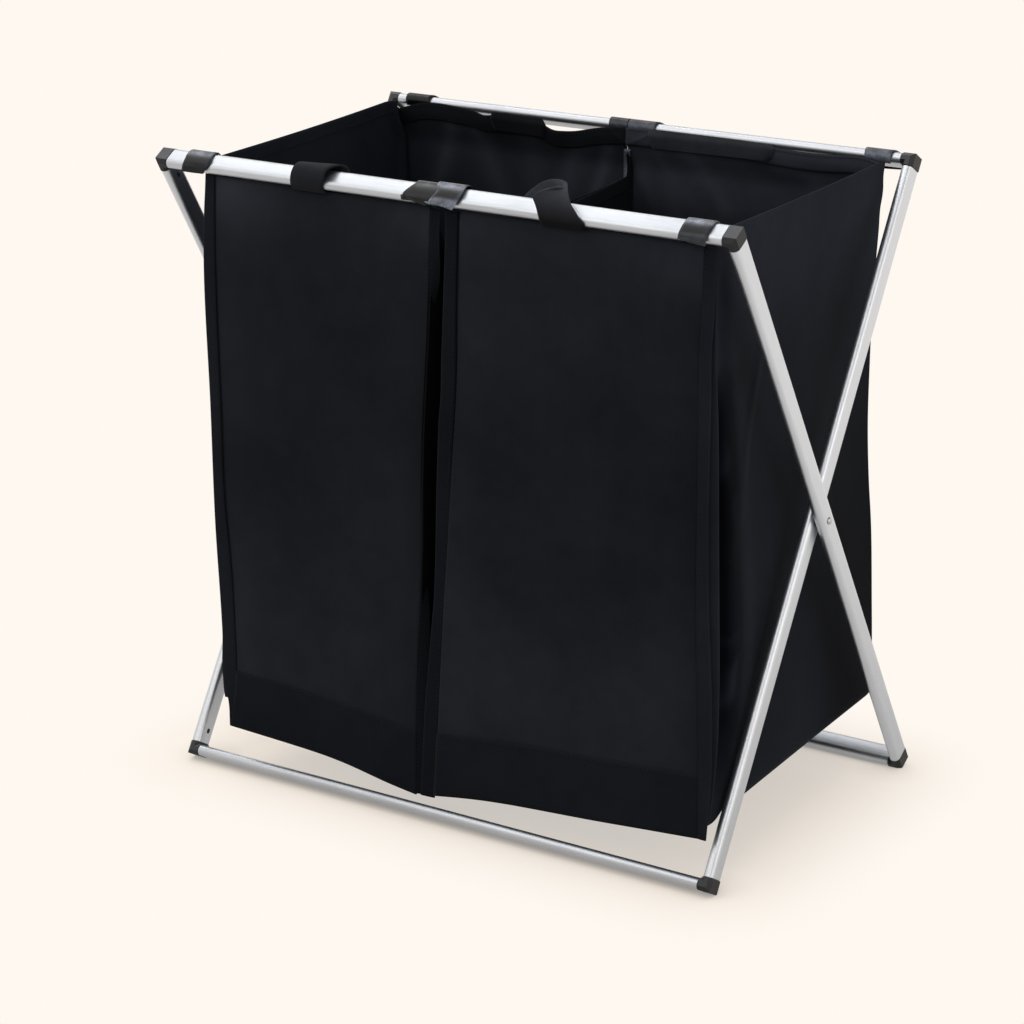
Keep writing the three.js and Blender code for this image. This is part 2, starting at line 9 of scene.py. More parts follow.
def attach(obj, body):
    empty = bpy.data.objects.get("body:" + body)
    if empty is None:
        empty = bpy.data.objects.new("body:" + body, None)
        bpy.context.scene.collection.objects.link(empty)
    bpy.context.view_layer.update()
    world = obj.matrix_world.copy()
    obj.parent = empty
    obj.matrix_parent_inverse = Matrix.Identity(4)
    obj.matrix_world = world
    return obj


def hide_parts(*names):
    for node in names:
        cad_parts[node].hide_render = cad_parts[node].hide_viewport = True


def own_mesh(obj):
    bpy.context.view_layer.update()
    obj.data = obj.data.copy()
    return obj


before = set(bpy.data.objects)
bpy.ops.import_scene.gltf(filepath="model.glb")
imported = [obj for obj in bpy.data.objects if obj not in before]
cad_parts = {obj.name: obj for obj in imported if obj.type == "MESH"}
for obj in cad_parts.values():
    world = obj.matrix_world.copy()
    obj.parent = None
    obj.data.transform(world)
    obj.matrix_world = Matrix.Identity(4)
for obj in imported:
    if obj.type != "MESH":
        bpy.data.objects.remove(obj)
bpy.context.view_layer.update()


# Camera. A long lens, right of the front and a little above the rails. Its place, turns and
# focal length were fitted to about twenty points of the frame in the photograph.
def add_object(name, data):
    """Object of a camera, lamp or mesh, linked into the scene."""
    made = bpy.data.objects.new(name, data)
    bpy.context.scene.collection.objects.link(made)
    return made


eye = Vector((1.39363, -2.19137, 1.10182))
azimuth, elevation, roll = math.radians(33.0657), math.radians(18.2818), math.radians(-0.1029)
backward = Vector((
    math.sin(azimuth) * math.cos(elevation),
    -math.cos(azimuth) * math.cos(elevation),
    math.sin(elevation),
))
level = Vector((0, 0, 1)).cross(backward).normalized()
upright = backward.cross(level)
sideways = level * math.cos(roll) + upright * math.sin(roll)
upward = upright * math.cos(roll) - level * math.sin(roll)
lens = bpy.data.cameras.new("camera")
lens.lens = 105.85
lens.sensor_width = 36
camera = add_object("camera", lens)
turn = Matrix((sideways, upward, backward)).transposed().to_4x4()
camera.matrix_world = Matrix.Translation(eye) @ turn
bpy.context.scene.camera = camera


# Floor, background and lamps. A cream paper sweep under a wide soft box, with a narrow one at
# the back left, two in front and a low one on the right. The paper glows in its own colour
# for the camera and in reflections, and keeps the hamper's soft shadow.
def linear(code):
    """Linear colour of an sRGB hex code: each channel plus 0.055, over 1.055, to the power 2.4,
    or a dark one over 12.92."""
    channels = [int(code[i:i + 2], 16) / 255 for i in (1, 3, 5)]
    return [c / 12.92 if c <= 0.04045 else ((c + 0.055) / 1.055) ** 2.4 for c in channels] + [1.0]


def new_material(name):
    """Empty node material, and its node tree."""
    material = bpy.data.materials.new(name)
    material.use_nodes = True
    material.node_tree.nodes.clear()
    return material, material.node_tree


def node(tree, kind, settings=None, **sockets):
    """Add one shader node. kind is its type without the ShaderNode in front, settings are its
    properties, and sockets its inputs by name, with _ for a space, or in_0 and so on by number.
    Each takes a value, an output, or a node, which stands for its first output."""
    made = tree.nodes.new("ShaderNode" + kind)
    for key, value in (settings or {}).items():
        setattr(made, key, value)
    for key, value in sockets.items():
        socket = made.inputs[int(key[3:]) if key.startswith("in_") else key.replace("_", " ")]
        if isinstance(value, bpy.types.Node):
            value = value.outputs[0]
        if isinstance(value, bpy.types.NodeSocket):
            tree.links.new(value, socket)
        else:
            socket.default_value = value
    return made


CREAM = "#fef8f1"
SMOOTH = {"interpolation_type": "SMOOTHSTEP"}
HALF_FOOTPRINT = (0.25, 0.14, 0)  # metres under the hamper, each way from its middle
sweep, tree = new_material("cream_paper_sweep")
path = node(tree, "LightPath")
to_camera, to_gloss = path.outputs["Is Camera Ray"], path.outputs["Is Glossy Ray"]
shown = node(tree, "Math", {"operation": "MAXIMUM"}, in_0=to_camera, in_1=to_gloss)
tone = node(tree, "Mix", {"data_type": "RGBA"}, in_0=to_camera,
            in_6=linear("#b5b1ac"), in_7=linear("#ffead2"))
# Ambient occlusion paints a contact shadow into the paper's colour near the hamper's feet and
# rails, and lowers the glow's share there with it.
touch = node(tree, "AmbientOcclusion", {"samples": 12}, Color=(1, 1, 1, 1), Distance=0.035)
painted_contact_shadow = node(tree, "MapRange", Value=touch.outputs["AO"], To_Min=0.12, To_Max=1.0)
shaded = node(tree, "VectorMath", {"operation": "SCALE"}, in_0=tone.outputs[2], Scale=painted_contact_shadow)
paper = node(tree, "BsdfDiffuse", Color=shaded)
glow = node(tree, "Emission", Color=linear(CREAM), Strength=1.0)
# The glow fades by the distance past the footprint: fast for the camera, slowly in reflections,
# which also find the floor in front of the hamper dimmer.
where = node(tree, "TexCoord")
quadrant = node(tree, "VectorMath", {"operation": "ABSOLUTE"}, in_0=where.outputs["Object"])
past = node(tree, "VectorMath", {"operation": "SUBTRACT"}, in_0=quadrant, in_1=HALF_FOOTPRINT)
outside = node(tree, "VectorMath", {"operation": "MAXIMUM"}, in_0=past, in_1=(0, 0, 0))
away = node(tree, "VectorMath", {"operation": "LENGTH"}, in_0=outside).outputs["Value"]
near = node(tree, "Math", {"operation": "MULTIPLY"}, in_0=painted_contact_shadow, in_1=0.56)
seen = node(tree, "MapRange", SMOOTH, Value=away, From_Min=-0.02, From_Max=0.145,
            To_Min=near, To_Max=1.0)
mirrored = node(tree, "MapRange", SMOOTH, Value=away, From_Min=0.0, From_Max=1.3,
                To_Min=0.47, To_Max=1.0)
place = node(tree, "SeparateXYZ", Vector=where.outputs["Object"])
front = node(tree, "MapRange", SMOOTH, Value=place.outputs[1], From_Min=-1.6, From_Max=0.0,
             To_Min=0.7, To_Max=1.0)
dimmed = node(tree, "Math", {"operation": "MULTIPLY"}, in_0=mirrored, in_1=front)
fade = node(tree, "Mix", {"data_type": "FLOAT"}, in_0=to_camera, in_2=dimmed, in_3=seen)
share = node(tree, "Math", {"operation": "MULTIPLY"}, in_0=shown, in_1=fade)
both = node(tree, "MixShader", Fac=share, in_1=paper, in_2=glow)
node(tree, "OutputMaterial", Surface=both)

floor_mesh = bpy.data.meshes.new("floor")
reach = 14.0  # metres from the hamper to the paper's edges
rim = [(-reach, -reach, 0), (reach, -reach, 0), (reach, reach, 0), (-reach, reach, 0)]
floor_mesh.from_pydata(rim, [], [(0, 1, 2, 3)])
floor_mesh.materials.append(sweep)
add_object("floor", floor_mesh)

world = bpy.data.worlds.new("studio")
bpy.context.scene.world = world
world.use_nodes = True
world.node_tree.nodes.clear()
tree = world.node_tree
path = node(tree, "LightPath")
to_camera, to_gloss = path.outputs["Is Camera Ray"], path.outputs["Is Glossy Ray"]
direct = node(tree, "Math", {"operation": "MAXIMUM"}, in_0=to_camera, in_1=to_gloss)
seen = node(tree, "Math", {"operation": "MAXIMUM"}, in_0=direct,
            in_1=path.outputs["Is Transmission Ray"])
air = node(tree, "Background", Color=(1, 1, 1, 1), Strength=0.55)
# Reflections see the room a little darker behind the camera, and its ceiling dark.
where = node(tree, "TexCoord")
way = node(tree, "SeparateXYZ", Vector=where.outputs["Generated"])
behind = node(tree, "MapRange", SMOOTH, Value=way.outputs[1], From_Min=-0.8, From_Max=0.2,
              To_Min=0.8, To_Max=1.0)
ceiling = node(tree, "MapRange", SMOOTH, Value=way.outputs[2], From_Min=0.42, From_Max=0.85,
               To_Min=1.0, To_Max=0.15)
room = node(tree, "Math", {"operation": "MULTIPLY"}, in_0=behind, in_1=ceiling)
bright = node(tree, "Mix", {"data_type": "FLOAT"}, in_0=to_gloss, in_2=1.0, in_3=room)
backdrop = node(tree, "Background", Color=linear(CREAM), Strength=bright)
both = node(tree, "MixShader", Fac=seen, in_1=air, in_2=backdrop)
node(tree, "OutputWorld", Surface=both)


def soft_box(name, place, target, wide, high, watts):
    """Rectangular area lamp at a place, turned to face a target, all in metres."""
    data = bpy.data.lights.new(name, "AREA")
    data.shape = "RECTANGLE"
    data.size, data.size_y, data.energy = wide, high, watts
    lamp = add_object(name, data)
    lamp.location = place
    lamp.rotation_euler = (Vector(target) - Vector(place)).to_track_quat("-Z", "Y").to_euler()


soft_box("overhead_box", (-0.8, -0.3, 3), (-0.3, -0.1, 0.2), 3.4, 3.4, watts=46)
soft_box("strip_box", (-1.55, 1.05, 2.83), (0, -0.17, 0.57), 1.6, 0.3, watts=6)
soft_box("front_box", (-1.4, -2.6, 2.5), (0, 0, 0.4), 1.8, 1.8, watts=11)
soft_box("key_box", (0.75, -2.3, 2.25), (0, 0, 0.35), 1.1, 1.1, watts=9)
soft_box("right_box", (2.9, -0.7, 1.3), (0.2, 0, 0.35), 0.8, 1.1, watts=6.5)

bpy.context.scene.view_settings.view_transform = "Standard"


# Frame tubes. Flat oval aluminium tube, drawn and satin anodised: pale grey, with fine die
# lines along each length. Smooth copies of the CAD tubes' meshes stand for them.
def smooth_copy(name, body, material, crease, bevel=0.0):
    """Copy of a CAD node with its corners merged and its flat faces joined, shaded smooth apart
    from edges over crease degrees, which a bevel of a width in metres can round."""
    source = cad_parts[name]
    form = bmesh.new()
    form.from_mesh(source.data)
    bmesh.ops.remove_doubles(form, verts=form.verts, dist=2e-6)
    flat = math.radians(0.4)
    bmesh.ops.dissolve_limit(form, angle_limit=flat, verts=form.verts, edges=form.edges)
    for face in form.faces:
        face.smooth = True
    for edge in form.edges:
        edge.smooth = len(edge.link_faces) == 2 and edge.calc_face_angle(0) < math.radians(crease)
    mesh = bpy.data.meshes.new(name + "_skin")
    form.to_mesh(mesh)
    form.free()
    mesh.materials.append(material)
    piece = add_object(name + "_skin", mesh)
    if bevel:
        rounding = piece.modifiers.new("rounded_edges", "BEVEL")
        rounding.width, rounding.segments, rounding.limit_method = bevel, 3, "ANGLE"
        rounding.angle_limit = math.radians(crease)
        rounding.harden_normals = True
    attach(piece, body)
    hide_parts(name)


def surface(tree, colour, pattern, rough, strength, depth, height, **sockets):
    """End a material in a shader of a colour, whose roughness goes between the two rough values
    by a pattern, and whose relief, up to depth in metres, follows a height."""
    matt = node(tree, "MapRange", Value=pattern, To_Min=rough[0], To_Max=rough[1])
    relief = node(tree, "Bump", Strength=strength, Distance=depth, Height=height)
    shader = node(tree, "BsdfPrincipled", Base_Color=colour, Roughness=matt, Normal=relief,
                  **sockets)
    node(tree, "OutputMaterial", Surface=shader)


# Anodised aluminium gives a soft, streaky reflection. Real die lines are some 0.05 mm apart,
# drawn here at 0.6 mm so that they show, and 40 times as long.
LINE_MM = 0.6
LINES_PER_M = 1000 / LINE_MM
TILT = math.atan2(337, 560)  # lean of a leg: the rails' middles are 337 mm apart and 560 mm up
ACROSS_X = (LINES_PER_M / 40, LINES_PER_M, LINES_PER_M)
ACROSS_Z = (LINES_PER_M, LINES_PER_M, LINES_PER_M / 40)
satin = {}
# The tubes are one metal: the rails' tones are painted darker, to take down the lamps' highlight on
# them, and the legs' painted paler, as painted light where the lamps reach them less.
for kind, lean, squeeze, low, high, mist in (
    ("rail", 0, ACROSS_X, "#a9adb2", "#c8ccd2", "#d2d6dc"),
    ("outer", -TILT, ACROSS_Z, "#ced2d8", "#e4e8ee", "#dadee4"),
    ("inner", TILT, ACROSS_Z, "#ced2d8", "#e4e8ee", "#dadee4"),
):
    satin[kind], tree = new_material("satin_anodised_aluminium_" + kind)
    where = node(tree, "TexCoord")
    level_up = node(tree, "Mapping", Vector=where.outputs["Object"], Rotation=(lean, 0, 0))
    stretch = node(tree, "Mapping", Vector=level_up, Scale=squeeze)
    lines = node(tree, "TexNoise", Vector=stretch, Scale=1.0, Detail=3.0, Roughness=0.6)
    # clouds some 70 mm wide haze them over
    clouds = node(tree, "TexNoise", Vector=where.outputs["Object"], Scale=14.0, Detail=3.0)
    tone = node(tree, "ValToRGB", Fac=lines)
    for stop, share, code in zip(tone.color_ramp.elements, (0.30, 0.70), (low, high)):
        stop.position, stop.color = share, linear(code)
    haze = node(tree, "Mix", {"data_type": "RGBA"}, in_0=clouds, in_6=tone, in_7=linear(mist))
    surface(tree, haze.outputs[2], lines, rough=(0.32, 0.46), strength=0.10, depth=0.0002,
            height=lines, Metallic=1.0)

for name, half in (("front_top_rail", "outer"), ("back_bottom_rail", "outer"),
                   ("back_top_rail", "inner"), ("front_bottom_rail", "inner")):
    smooth_copy(name, "frame_" + half, satin["rail"], crease=35)
for half in ("outer", "inner"):
    for side in ("left", "right"):
        smooth_copy(f"{side}_{half}_leg", "frame_" + half, satin[half], crease=35)


# Corner elbows. Injection moulded black nylon with a fine spark-eroded grain, so its sheen is broad
# and its edges are a little rounded. Its upper faces are painted paler, a painted highlight from
# the light above.
moulded_nylon, tree = new_material("moulded_black_nylon")
where = node(tree, "TexCoord")
GRAIN_MM = 0.5  # real grain is near 0.2 mm, too fine to show
grain = node(tree, "TexNoise", Vector=where.outputs["Object"], Scale=1000 / GRAIN_MM, Detail=2.0)
# patches some 17 mm wide, where hands and dust have dulled it
patches = node(tree, "TexNoise", Vector=where.outputs["Object"], Scale=60.0, Detail=3.0)
mottle = node(tree, "ValToRGB", Fac=patches)
for stop, share, code in zip(mottle.color_ramp.elements, (0.35, 0.75), ("#17181a", "#232427")):
    stop.position, stop.color = share, linear(code)
# Faces turned upwards are painted paler, towards #4b4c4f, standing in for the light that falls on
# them from above.
facing_up = node(tree, "SeparateXYZ", Vector=where.outputs["Normal"])
painted_top_light = node(tree, "MapRange", SMOOTH, Value=facing_up.outputs[2], From_Min=0.2, From_Max=0.95,
             To_Min=0.0, To_Max=1.0)
paler = node(tree, "Mix", {"data_type": "RGBA"}, in_0=painted_top_light, in_6=mottle, in_7=linear("#4b4c4f"))
surface(tree, paler.outputs[2], patches, rough=(0.38, 0.52), strength=0.35, depth=0.0001,
        height=grain, IOR=1.53, Specular_IOR_Level=0.3)

for half in ("outer", "inner"):
    for corner in ("top_left", "top_right", "bottom_left", "bottom_right"):
        name = f"{half}_elbow_{corner}"
        smooth_copy(name, "frame_" + half, moulded_nylon, crease=28, bevel=0.0004)


# Pivots. Domed aluminium rivets go through both legs and a nylon washer between them. The
# tool that set them has left them brighter than the tubes, with marks about a millimetre apart.
domed, tree = new_material("set_aluminium_rivet")
where = node(tree, "TexCoord")
rub = node(tree, "TexNoise", Vector=where.outputs["Object"], Scale=900.0, Detail=2.0)
matt = node(tree, "MapRange", Value=rub, To_Min=0.18, To_Max=0.34)
tone = node(tree, "Mix", {"data_type": "RGBA"}, in_0=rub,
            in_6=linear("#a9aaad"), in_7=linear("#d3d4d6"))
metal = node(tree, "BsdfPrincipled", Base_Color=tone.outputs[2], Metallic=1.0, Roughness=matt)
node(tree, "OutputMaterial", Surface=metal)
for side in ("left", "right"):
    smooth_copy(f"{side}_pivot_rivet", "frame_outer", domed, crease=40)
    smooth_copy(f"{side}_pivot_washer", "frame_outer", moulded_nylon, crease=40)


# Bag cloth. Black 600-denier polyester in a plain weave with a coated back: dull, with a faint
# sheen along the threads. Light and shade are painted into its colour, paler or darker piece by
# piece and point by point.
THREAD_MM = 0.7  # real threads are 0.35 mm apart, which would not show


def painted_shading_tone(tree, tone):
    """A colour times 1 plus the mesh's painted shading: painted light above zero, painted shade
    below it.
    """
    painted_shading = node(tree, "Attribute", {"attribute_name": "painted_shading"})
    paler = node(tree, "Math", {"operation": "ADD"}, in_0=painted_shading.outputs["Fac"], in_1=1.0)
    return node(tree, "VectorMath", {"operation": "SCALE"}, in_0=tone, Scale=paler)


def woven(name, dark, pale, thread_mm, rough, relief_mm):
    """Plain weave on the piece's UV map, which is in metres: the product of two sine waves at
    right angles, one for each set of threads, over slow clouds and finer rubbed patches."""
    material, tree = new_material(name)
    where = node(tree, "UVMap", {"uv_map": "cloth"})
    turns = 1000 / thread_mm * math.pi
    scaled = node(tree, "Mapping", Vector=where, Scale=(turns, turns, 1))
    parts = node(tree, "SeparateXYZ", Vector=scaled)
    warp = node(tree, "Math", {"operation": "SINE"}, in_0=parts)
    weft = node(tree, "Math", {"operation": "SINE"}, in_0=parts.outputs[1])
    over = node(tree, "Math", {"operation": "MULTIPLY"}, in_0=warp, in_1=weft)
    slub = node(tree, "TexNoise", Vector=where, Scale=1000 / (4 * thread_mm), Detail=2.0,
                Roughness=0.7)
    threads = node(tree, "Math", {"operation": "MULTIPLY_ADD"}, in_0=over, in_1=0.5, in_2=slub)
    place = node(tree, "TexCoord").outputs["Object"]
    # clouds some 140 mm wide, and rubbed patches of 24 mm
    clouds = node(tree, "TexNoise", Vector=place, Scale=7.0, Detail=4.0, Roughness=0.55)
    rubbing_and_painted_shading = node(tree, "TexNoise", Vector=place, Scale=42.0, Detail=3.0, Roughness=0.6)
    blend = node(tree, "Math", {"operation": "MULTIPLY_ADD"}, in_0=rubbing_and_painted_shading, in_1=0.35, in_2=clouds)
    spread = node(tree, "Math", {"operation": "MULTIPLY_ADD"}, in_0=threads, in_1=0.16, in_2=blend)
    tone = node(tree, "ValToRGB", Fac=spread)
    for stop, share, code in zip(tone.color_ramp.elements, (0.45, 0.98), (dark, pale)):
        stop.position, stop.color = share, linear(code)
    surface(tree, painted_shading_tone(tree, tone), threads, rough=(rough - 0.06, rough + 0.06),
            strength=0.5, depth=relief_mm / 1000, height=threads, Sheen_Weight=0.03,
            Sheen_Roughness=0.45, Specular_IOR_Level=0.03)
    return material


bag_cloth, side_cloth, edge_cloth = (
    woven("woven_black_polyester" + end, dark, pale, THREAD_MM, rough, relief_mm=0.12)
    for end, dark, pale, rough in (
        ("", "#16171c", "#212328", 0.80),
        ("_side", "#15171e", "#20232b", 0.80),
        ("_doubled", "#111318", "#1b1d22", 0.82),
    )
)


# Front panels. One flat cut of cloth each, hung from the front rail, pulled in a little below
# the tabs and slack lower down.
PANEL_FACE = -170.8  # Y of a front panel's face
PANEL_TOP = 558.3  # height of the panels' top edges, behind the rail
PANEL_COLUMNS = 70
PANEL_SPAN = {"left": (-228, 218), "right": (15, 246)}  # X of a face's left edge, and its width
SEAM_SPAN = {"left": (-232, -15), "right": (0, 262)}  # X of a panel's two edges, near enough
# (height, X) in mm along each panel's left and right seam, and (X, height) along its foot
seams = {
    "left": (
        [(42, -232), (79, -225), (150, -224.5), (200, -226.5), (260, -231.5), (350, -232.5),
         (430, -233.5), (500, -232.8), (559, -230.5)],
        [(22, -23.2), (75, -22.4), (113, -21.9), (151, -20.3), (217, -16.4), (245, -15),
         (318, -13.6), (354, -12.4), (408, -9), (452, -5.9), (495, -3.7), (521, -2.9),
         (559, -1.2)],
    ),
    "right": (
        [(24, -5), (80, -0.9), (137, 2.9), (175, 5.4), (213, 7.9), (268, 12.7), (350, 17.6),
         (412, 21.3), (482, 22.4), (525, 23.8), (559, 25.6)],
        [(46, 265), (113, 264), (175, 262), (228, 260), (297, 258.7), (348, 258.6), (432, 257.8),
         (481, 257.9), (514, 259.7), (559, 260.8)],
    ),
}
feet = {
    "left": [(-233, 42.7), (-192, 41.3), (-152, 38.7), (-96, 33.9), (-42, 26.3), (-14, 22.7)],
    "right": [(-20, 23), (39, 31.6), (117, 38.8), (187, 44.6), (246, 48.4), (274, 50.6)],
}


def points(x, y, z):
    """Points in mm from their X, Y and Z, each an array or one number for all."""
    return np.stack(np.broadcast_arrays(x, y, z), axis=-1)


def smooth_line(at, known):
    """Value at each place on a smooth line through known (place, value) pairs, in rising order:
    cubic pieces whose slopes are those of their neighbours' chords."""
    places, values = np.array(known, float).T
    at = np.clip(at, places[0], places[-1])
    slopes = np.gradient(values, places)
    k = np.clip(np.searchsorted(places, at) - 1, 0, len(places) - 2)
    wide = places[k + 1] - places[k]
    t = (at - places[k]) / wide
    return (
        (2 * t**3 - 3 * t**2 + 1) * values[k]
        + (t**3 - 2 * t**2 + t) * wide * slopes[k]
        + (3 * t**2 - 2 * t**3) * values[k + 1]
        + (t**3 - t**2) * wide * slopes[k + 1]
    )


def bump(x, middle, width):
    """Rounded hump of height 1 at its middle: exp of minus the square of distance over width."""
    return np.exp(-(((x - middle) / width) ** 2))


def step(x, start, end):
    """0 before start, 1 after end, and 3t^2 - 2t^3 between them."""
    t = np.clip((x - start) / (end - start), 0, 1)
    return t * t * (3 - 2 * t)


def cloth_piece(name, grid, body, material, thickness, node_name=None, closed=False,
                flip=False, painted_shading=0.0):
    """Sheet from a grid of points in mm, shape (rows, columns, 3), with a UV map of its running
    lengths in metres, the mean over the rows and over the columns. A closed grid joins its last
    column to its first and caps its ends, and an open one gets the thickness, in mm, behind its
    face. The painted shading is how much light or shade is painted into the cloth's colour, as a
    share: paler above zero and darker below, at every point or all over."""
    rows, columns, _ = grid.shape
    places = grid.reshape(-1, 3) / 1000
    index = np.arange(rows * columns).reshape(rows, columns)
    wrap = np.concatenate([index, index[:, :1]], axis=1) if closed else index
    quads = np.stack([wrap[:-1, :-1], wrap[1:, :-1], wrap[1:, 1:], wrap[:-1, 1:]], axis=-1)
    looped = np.concatenate([grid, grid[:, :1]], axis=1) if closed else grid
    across = np.linalg.norm(np.diff(looped, axis=1), axis=2).mean(0)
    down = np.linalg.norm(np.diff(grid, axis=0), axis=2).mean(1)
    u = np.concatenate([[0], across.cumsum()]) / 1000
    v = np.concatenate([[0], down.cumsum()]) / 1000
    spots = np.stack(np.meshgrid(u, v), axis=-1)
    corners = np.stack([spots[:-1, :-1], spots[1:, :-1], spots[1:, 1:], spots[:-1, 1:]], axis=2)
    order = slice(None, None, -1 if flip else 1)
    faces = quads.reshape(-1, 4)[:, order].tolist()
    loops = corners.reshape(-1, 4, 2)[:, order].reshape(-1, 2)
    if closed:
        for end in (index[0], index[-1]):
            cap = end if (end[0] == 0) != flip else end[::-1]
            faces.append(cap.tolist())
            loops = np.concatenate([loops, places[cap][:, :2]])
    mesh = bpy.data.meshes.new(name)
    mesh.from_pydata(places.tolist(), [], faces)
    mesh.uv_layers.new(name="cloth").data.foreach_set("uv", loops.astype(np.float32).ravel())
    mesh.polygons.foreach_set("use_smooth", [True] * len(mesh.polygons))
    if closed:
        mesh.polygons[-1].use_smooth = mesh.polygons[-2].use_smooth = False
    # The painted light and shade go on the mesh as an attribute, by which the material makes the
    # colour paler or darker.
    shading_values = np.broadcast_to(painted_shading, (rows, columns)).astype(np.float32).ravel()
    mesh.attributes.new("painted_shading", "FLOAT", "POINT").data.foreach_set("value", shading_values)
    mesh.materials.append(material)
    mesh.update()
    piece = add_object(name, mesh)
    if not closed:
        wall = piece.modifiers.new("cloth_thickness", "SOLIDIFY")
        wall.thickness, wall.offset, wall.use_rim = thickness / 1000, -1, True
    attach(piece, body)
    if node_name:
        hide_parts(node_name)
    return piece


def front_face(bag, x, z):
    """Y of a front panel's face: a slack belly, the product of two half sine waves, with two
    slanting sine waves, and a short hump below each outer tab that dies away down the panel."""
    left, wide = PANEL_SPAN[bag]
    u, v = (x - left) / wide, (PANEL_TOP - z) / 520
    belly = 2.6 * np.sin(np.pi * np.clip(u, 0, 1)) * np.sin(np.pi * np.clip(v, 0, 1) ** 0.8)
    waves = 1.3 * np.sin(8 * u + 4 * v + (0 if bag == "left" else 2)) * step(v, 0.02, 0.3)
    waves = waves + 0.6 * np.sin(15 * u - 6 * v + 1) * np.exp(-2 * v)
    below = step(v, 0, 0.03)
    pull = 1.8 * bump(x - left - 14 - 160 * v, 0, 8) * below * np.exp(-14 * v)
    pull = pull + 1.8 * bump(left + wide - 16 - 190 * v - x, 0, 8) * below * np.exp(-12 * v)
    return PANEL_FACE + belly + waves - pull


def front_grid(bag, columns, rows, low=None, high=None, out=0.0):
    """Grid over a front panel, a straight blend between its seams' X at each height, from its
    top to its foot or between two heights that are functions of X. out moves it forward."""
    u, v = np.linspace(0, 1, columns), np.linspace(0, 1, rows)
    left_line, right_line = seams[bag]
    guess = np.linspace(*SEAM_SPAN[bag], columns)
    top = np.full(columns, PANEL_TOP) if high is None else high(guess)
    foot = smooth_line(guess, feet[bag]) if low is None else low(guess)
    z = top + (foot - top) * v[:, None]
    x = smooth_line(z, left_line) * (1 - u) + smooth_line(z, right_line) * u
    return points(x, front_face(bag, x, z) - out, z)


for bag in ("left", "right"):
    grid = front_grid(bag, PANEL_COLUMNS, rows=130)
    across, z = np.linspace(-1, 1, PANEL_COLUMNS), grid[..., 2]
    outward = -across if bag == "left" else across
    # Painted light and shade: paler over the top, most towards the outer corners, and in bands low
    # down and along the left edge; darker around mid-height and along the right edge below the top.
    painted_shading = step(z, 505, 550) * (0.25 + 0.45 * across**2) - 0.13 * bump(z, 300, 110)
    painted_shading = painted_shading + 0.1 * bump(z, 120, 60) - 0.2 * step(across, 0.75, 1) * (1 - step(z, 470, 540))
    painted_shading = painted_shading + 0.22 * bump(z, 175, 70) + 0.35 * step(z, 490, 550) * step(outward, 0.1, 0.7)
    painted_shading = painted_shading + 0.15 * step(-across, 0.6, 0.95)
    panel = cloth_piece(bag + "_front_panel", grid, "bag_fronts", bag_cloth,
                        thickness=1.1, node_name=bag + "_bag_front", painted_shading=painted_shading)
    wide = (grid[0, -1, 0] - grid[0, 0, 0]) / 1000


# Foot bands. The panel's lower edge is turned up 60 mm and sewn, so the cloth is double there
# and reads darker, with a rolled fold along the very bottom.
BAND_TOP = {  # (X, height) along each band's upper edge
    "left": [(-233, 98.8), (-190, 98), (-117, 92.6), (-14, 85.4)],
    "right": [(-20, 85.2), (2, 87.2), (65, 93.6), (167, 101.2), (274, 108.4)],
}
for bag in ("left", "right"):
    grid = front_grid(bag, PANEL_COLUMNS, rows=16, high=lambda x: smooth_line(x, BAND_TOP[bag]),
                      out=0.7)
    band = cloth_piece(bag + "_foot_band", grid, "bag_fronts", edge_cloth, thickness=0.6)


# Stitching. Lockstitch in bonded black polyester thread, 4 mm to a stitch, a shade paler and
# glossier than the cloth, with filaments that twist in slanting bands. It holds the bands, seams,
# hems and tabs.
thread, tree = new_material("bonded_black_thread")
where = node(tree, "TexCoord")
twist = node(tree, "TexWave", {"bands_direction": "DIAGONAL"}, Vector=where.outputs["Object"],
             Scale=900.0, Distortion=1.0)
tone = node(tree, "Mix", {"data_type": "RGBA"}, in_0=twist.outputs[1],
            in_6=linear("#131417"), in_7=linear("#222327"))
relief = node(tree, "Bump", Strength=0.4, Distance=0.0001, Height=twist.outputs[1])
strand = node(tree, "BsdfPrincipled", Base_Color=tone.outputs[2], Roughness=0.5,
              Specular_IOR_Level=0.12, Normal=relief)
node(tree, "OutputMaterial", Surface=strand)
LOZENGE = [(0, 2, 1), (0, 3, 2), (0, 4, 3), (0, 1, 4), (5, 1, 2), (5, 2, 3), (5, 3, 4), (5, 4, 1)]


def unit(vectors):
    """Vectors over their lengths."""
    return vectors / np.linalg.norm(vectors, axis=-1, keepdims=True)


